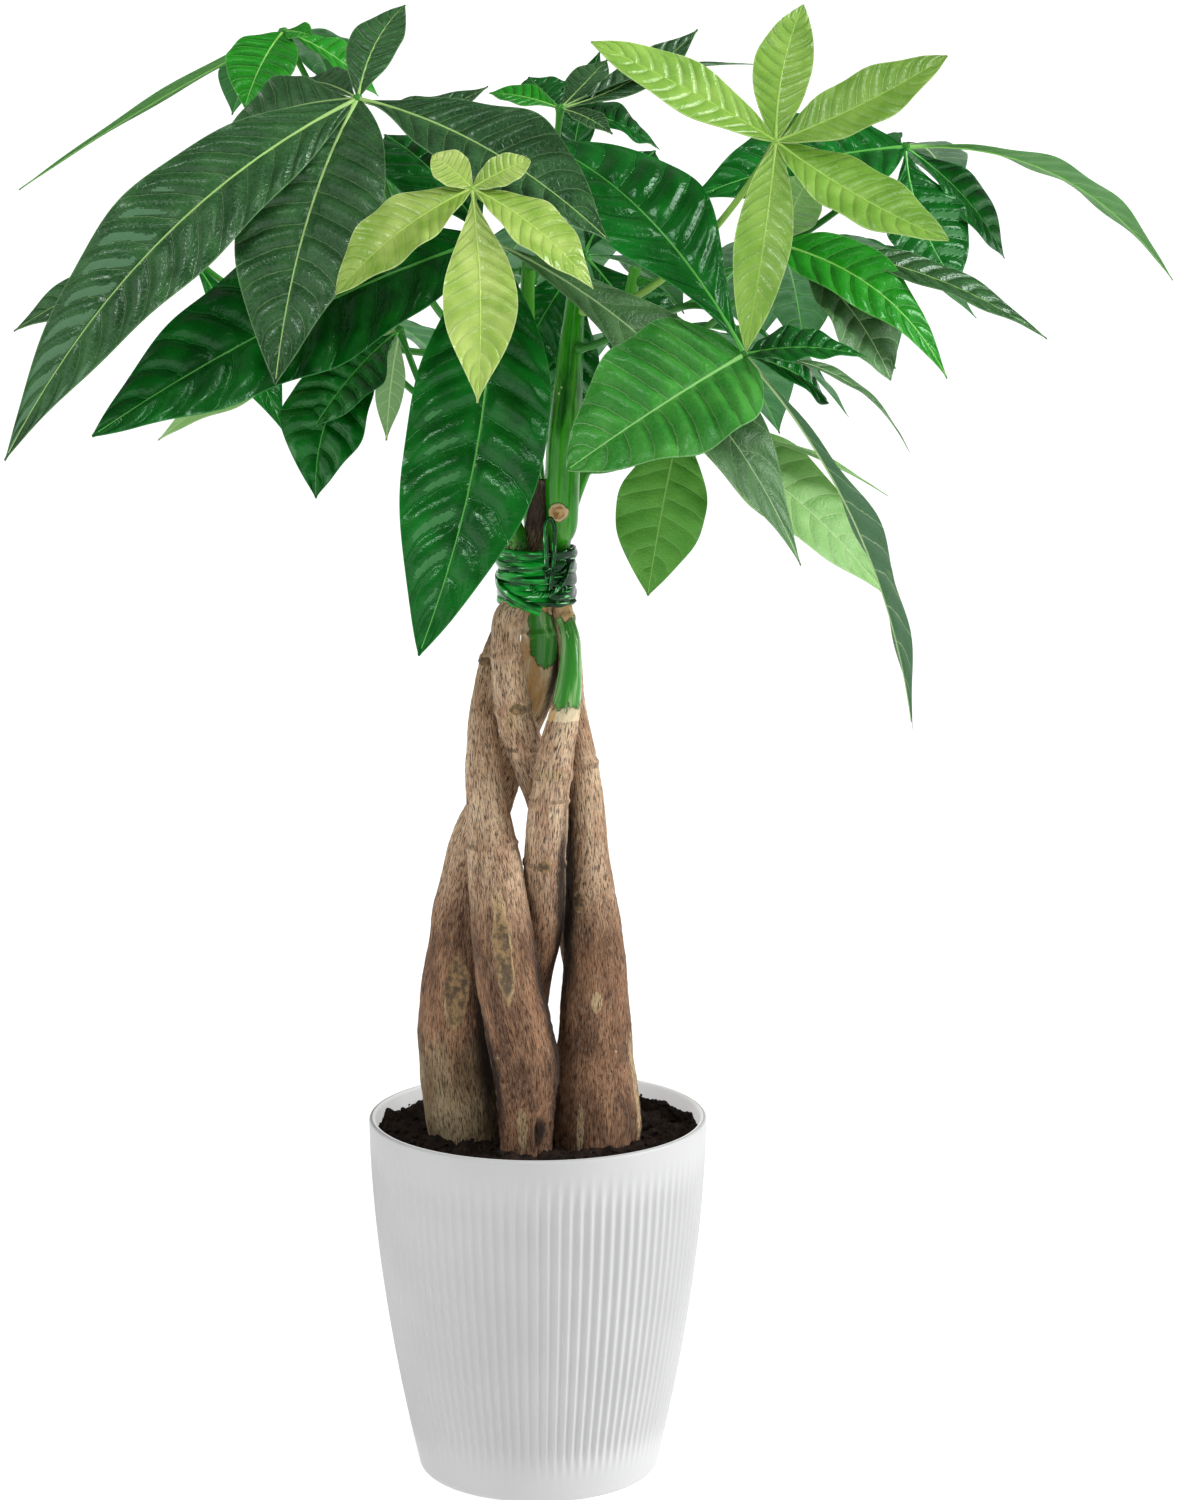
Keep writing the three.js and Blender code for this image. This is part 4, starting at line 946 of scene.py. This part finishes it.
# Radius of a stalk at the knob, and how far it is thicker along its length, at its seat and under the knob.
STALK_RADIUS = 1.45
STALK_SWELLINGS = (0.35, 1.1, 0.5)
STALK_SINK = 0.6
STALK_START = 0.2
STALK_BEND = 0.35
STALK_SAG = 0.2
SEAT_PRECISION = 0.0005
# What every point of a leaf keeps for its colours, three values to a layer.
LEAF_LAYERS = {
    "blade": ("across", "along", "half"),
    "kind": ("upper", "rib", "tone"),
    "form": ("veins", "length", "shift"),
}


def trunk_at_height(rows, height):
    low, high = 0, 1
    while high - low > SEAT_PRECISION:
        middle = (low + high) / 2
        if trunk_place(rows, middle)[0].z < height:
            low = middle
        else:
            high = middle
    return trunk_place(rows, low)


def stalk_line(leaf):
    """The stalk's place_at and its reach. It leaves the stem square to the bark and climbs to the knob."""
    hub = Vector(leaf["hub"])
    centre, direction, radius = trunk_at_height(TRUNKS[leaf["stem"]], leaf["height"])
    outward = hub - centre
    outward = (outward - direction * outward.dot(direction)).normalized()
    seat = centre + outward * (radius - STALK_SINK)
    reach = (hub - seat).length
    root = seat + outward * STALK_START * reach
    bend = hub.lerp(seat, STALK_BEND) - Vector((0, 0, STALK_SAG * reach))
    if "via" in leaf:
        bend = Vector(leaf["via"])
    taper, foot, top = STALK_SWELLINGS

    def place_at(share):
        rest = 1 - share
        place = seat * rest ** 3 + root * 3 * rest ** 2 * share
        place += bend * 3 * rest * share ** 2 + hub * share ** 3
        change = (root - seat) * rest ** 2 + (bend - root) * 2 * rest * share + (hub - bend) * share ** 2
        swelling = taper * rest + foot * (1 - ease(share, 0, 0.07)) + top * ease(share, 0.93, 1)
        return place, change.normalized(), STALK_RADIUS + swelling
    return place_at, reach


def blade_outline(share, widest, point):
    """Half width along the blade, 1 at its widest. A higher point draws the foot and the tip out."""
    return math.sin(math.pi * share ** (math.log(0.5) / math.log(widest))) ** point


def add_leaflet(bm, hub, row, slot, layers, dice):
    look, tip = LOOKS[row[0]], Vector(row[1:4])
    width, arch, sway, lean_x, lean_y = (*row[4:9], 0, 0, 0)[:5]
    widest, point = row[9:] or USUAL_OUTLINE
    blade_layer, kind_layer, form_layer = layers
    span = tip - hub
    length, along = span.length, span.normalized()
    face = Vector((lean_x, lean_y, 1))
    face = (face - along * face.dot(along)).normalized()
    across = along.cross(face)
    tone = dice.random()
    wave_start, wave_count = dice.uniform(0, math.tau), dice.uniform(2.2, 3.6)
    veins = max(FEWEST_VEINS, round(look["veins"] * (length / VEIN_LENGTH) ** VEIN_GROWTH))
    shift = dice.uniform(0.3, 0.7)

    def middle(share):
        bow = 4 * share * (1 - share)
        return hub + span * share + face * arch * bow + across * sway * bow

    def rib_place(share):
        share *= 0.985
        ahead = middle(share + 0.01) - middle(share - 0.01)
        foot, body, end = (radius * (0.5 + 0.5 * width / FULL_WIDTH) for radius in RIB_RADII)
        radius = foot + (body - foot) * ease(share, 0, 0.16)
        return middle(share), ahead.normalized(), radius + (end - radius) * share

    def note_rib(vert, turn, length_here, radius):
        vert[kind_layer] = (1, 1, tone)

    step = min(BLADE_STEP, 0.5 + width / FULL_WIDTH)
    columns, lines = 2 * max(5, round(width / 2 / step)), max(24, round(length / step))
    grid = bmesh.ops.create_grid(bm, x_segments=columns, y_segments=lines, size=0.5)["verts"]
    faces = list({near for vert in grid for near in vert.link_faces})
    for vert in grid:
        side, share = vert.co.x * 2, vert.co.y + 0.5
        away = abs(side)
        foot = BLADE_ENDS[0] * (1 - share) + BLADE_ENDS[1] * share
        half = max(foot, width / 2 * blade_outline(share, widest, point))
        sweep = VEIN_SWEEP[0] * away + VEIN_SWEEP[1] * away ** 2
        phase = veins * (share - sweep) + (shift if side > 0 else 0)
        ends = ease(share, 0.02, 0.14) * (1 - ease(share, 0.88, 0.99))
        swell = ease(away, 0, 0.2) * (1 - ease(away, 0.7, 1))
        swell *= abs(math.sin(math.pi * phase)) ** SWELL_ROUNDNESS
        wave = away ** 3 * math.sin(math.tau * wave_count * share + wave_start + 1.3 * side)
        fold = BLADE_FOLD * half * (math.sqrt(away ** 2 + 0.01) - 0.1)
        rise = fold + 2 * half * (look["quilt"] * swell + MARGIN_WAVE * wave) * ends
        vert[blade_layer] = (side * half, share * length, half)
        vert[kind_layer] = (1, 0, tone)
        vert[form_layer] = (veins, length, shift)
        vert.co = middle(share) + across * side * half + face * (rise + BLADE_THICKNESS / 2)
    made = bmesh.ops.solidify(bm, geom=faces, thickness=BLADE_THICKNESS)["geom"]
    for vert in made:
        if isinstance(vert, bmesh.types.BMVert):
            vert[kind_layer] = (0, 0, tone)
    shell = {near for vert in made if isinstance(vert, bmesh.types.BMVert) for near in vert.link_faces}
    rim = [near for near in shell if len({vert[kind_layer].x for vert in near.verts}) == 2]
    for edge in {edge for near in rim for edge in near.edges}:
        edge.smooth = edge.verts[0][kind_layer].x != edge.verts[1][kind_layer].x
    rib = wrap_round(bm, rib_place, RIB_SIDES, round(length / RIB_STEP), note=note_rib)
    for near in [*faces, *shell, *rib]:
        near.material_index = slot


def leaf_finish(name, look):
    material, mix, shader = new_finish("leaf_" + name, {
        "IOR": 1.45, "Specular IOR Level": 0.5, "Specular Tint": look["tint"]})
    parts = {}
    for layer, keys in LEAF_LAYERS.items():
        values = mix.attribute(layer)
        for key, axis in zip(keys, "XYZ"):
            parts[key] = values.axis(axis)
    deep, fresh, pale, rib, under, stalk = (
        look[key] for key in ("deep", "fresh", "vein", "rib", "under", "stalk"))
    # The side veins, at the same places as the hollows between the swells.
    sideways = abs(parts["across"])
    away = sideways / parts["half"]
    sweep = VEIN_SWEEP[0] * away + VEIN_SWEEP[1] * away * away
    right = mix.maths("GREATER_THAN", parts["across"], 0)
    wander = mix.place().stretched(1 / MM, 1 / MM, 1 / MM).noise(0.12) - 0.5
    phase = parts["veins"] * (parts["along"] / parts["length"] - sweep) + parts["shift"] * right
    gap = mix.maths("PINGPONG", phase + 0.28 * wander, 0.5)
    vein = 1 - (gap * parts["length"] / parts["veins"]).rise(0.18, 0.75)
    # The finest veins, clouds of colour and the blade's shallow puckers.
    flat = mix.attribute("blade").stretched(1, 1, 0)
    net = mix.node("ShaderNodeTexVoronoi", {"feature": "DISTANCE_TO_EDGE"}, {"Vector": flat, "Scale": 0.42})
    net = 1 - net.rise(0.03, 0.16)
    cloud = flat.noise(0.04, detail=2)
    pucker = flat.stretched(0.3, 1, 0).noise(0.22, roughness=0.5)
    skin = (cloud.rise(0.3, 0.7) * 0.6 + parts["tone"] * 0.4).blend(deep, fresh)
    skin = ((1 - gap.rise(0, 0.22)) * 0.1).blend(skin, fresh)
    skin = (net * look["net"] * 0.3).blend(skin, pale)
    skin = (vein * look["show"]).blend(skin, pale)
    margin = 1 - (parts["half"] - sideways).rise(0.15, 0.6)
    skin = (margin * 0.4).blend(skin, pale)
    # The underside, then the stalk and the midrib.
    skin = parts["upper"].blend((vein * 0.5).blend(under, rib), skin)
    skin = parts["rib"].rise(0.2, 0.4).blend(skin, stalk)
    skin = parts["rib"].rise(0.6, 0.9).blend(skin, rib)
    hollow = (1 - gap.rise(0, 0.3) + vein * 0.7) * (QUILT_RELIEF * look["quilt"]) + net * look["net"] * 0.4
    connect(shader,
            Base_Color=skin,
            Roughness=look["rough"] + 0.14 * (cloud - 0.5) + 0.2 * (1 - parts["upper"]),
            Normal=(pucker * 0.5 - hollow).bump(0.8))
    return material


leaf_finishes = {name: leaf_finish(name, look) for name, look in LOOKS.items()}
for seed, (name, leaf) in enumerate(LEAVES.items()):
    leaf_mesh = bmesh.new()
    layers = [leaf_mesh.verts.layers.float_vector.new(layer) for layer in LEAF_LAYERS]
    dice = random.Random(seed)
    hub = Vector(leaf["hub"])
    looks = list(dict.fromkeys(row[0] for row in leaf["blades"]))

    def note_stalk(vert, turn, length, radius):
        vert[layers[1]] = (1, 0.5, 0.5)

    place_at, reach = stalk_line(leaf)
    wrap_round(leaf_mesh, place_at, STALK_SIDES, round(reach / STALK_STEP), note=note_stalk)
    knob_radius = HUB_RADIUS * (YOUNG_HUB if looks[0] in YOUNG_LOOKS else 1)
    knob = bmesh.ops.create_icosphere(leaf_mesh, subdivisions=3, radius=knob_radius)["verts"]
    for vert in knob:
        note_stalk(vert, 0, 0, 0)
        vert.co = hub + vert.co * (1 + HUB_LUMPS * noise.noise(vert.co * 0.8 + hub))
    for row in leaf["blades"]:
        add_leaflet(leaf_mesh, hub, row, looks.index(row[0]), layers, dice)
    bmesh.ops.recalc_face_normals(leaf_mesh, faces=leaf_mesh.faces)
    piece = finish_piece(leaf_mesh, name.replace("leaf", "foliage"), [leaf_finishes[look] for look in looks])
    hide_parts(name)
    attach(piece, "root")
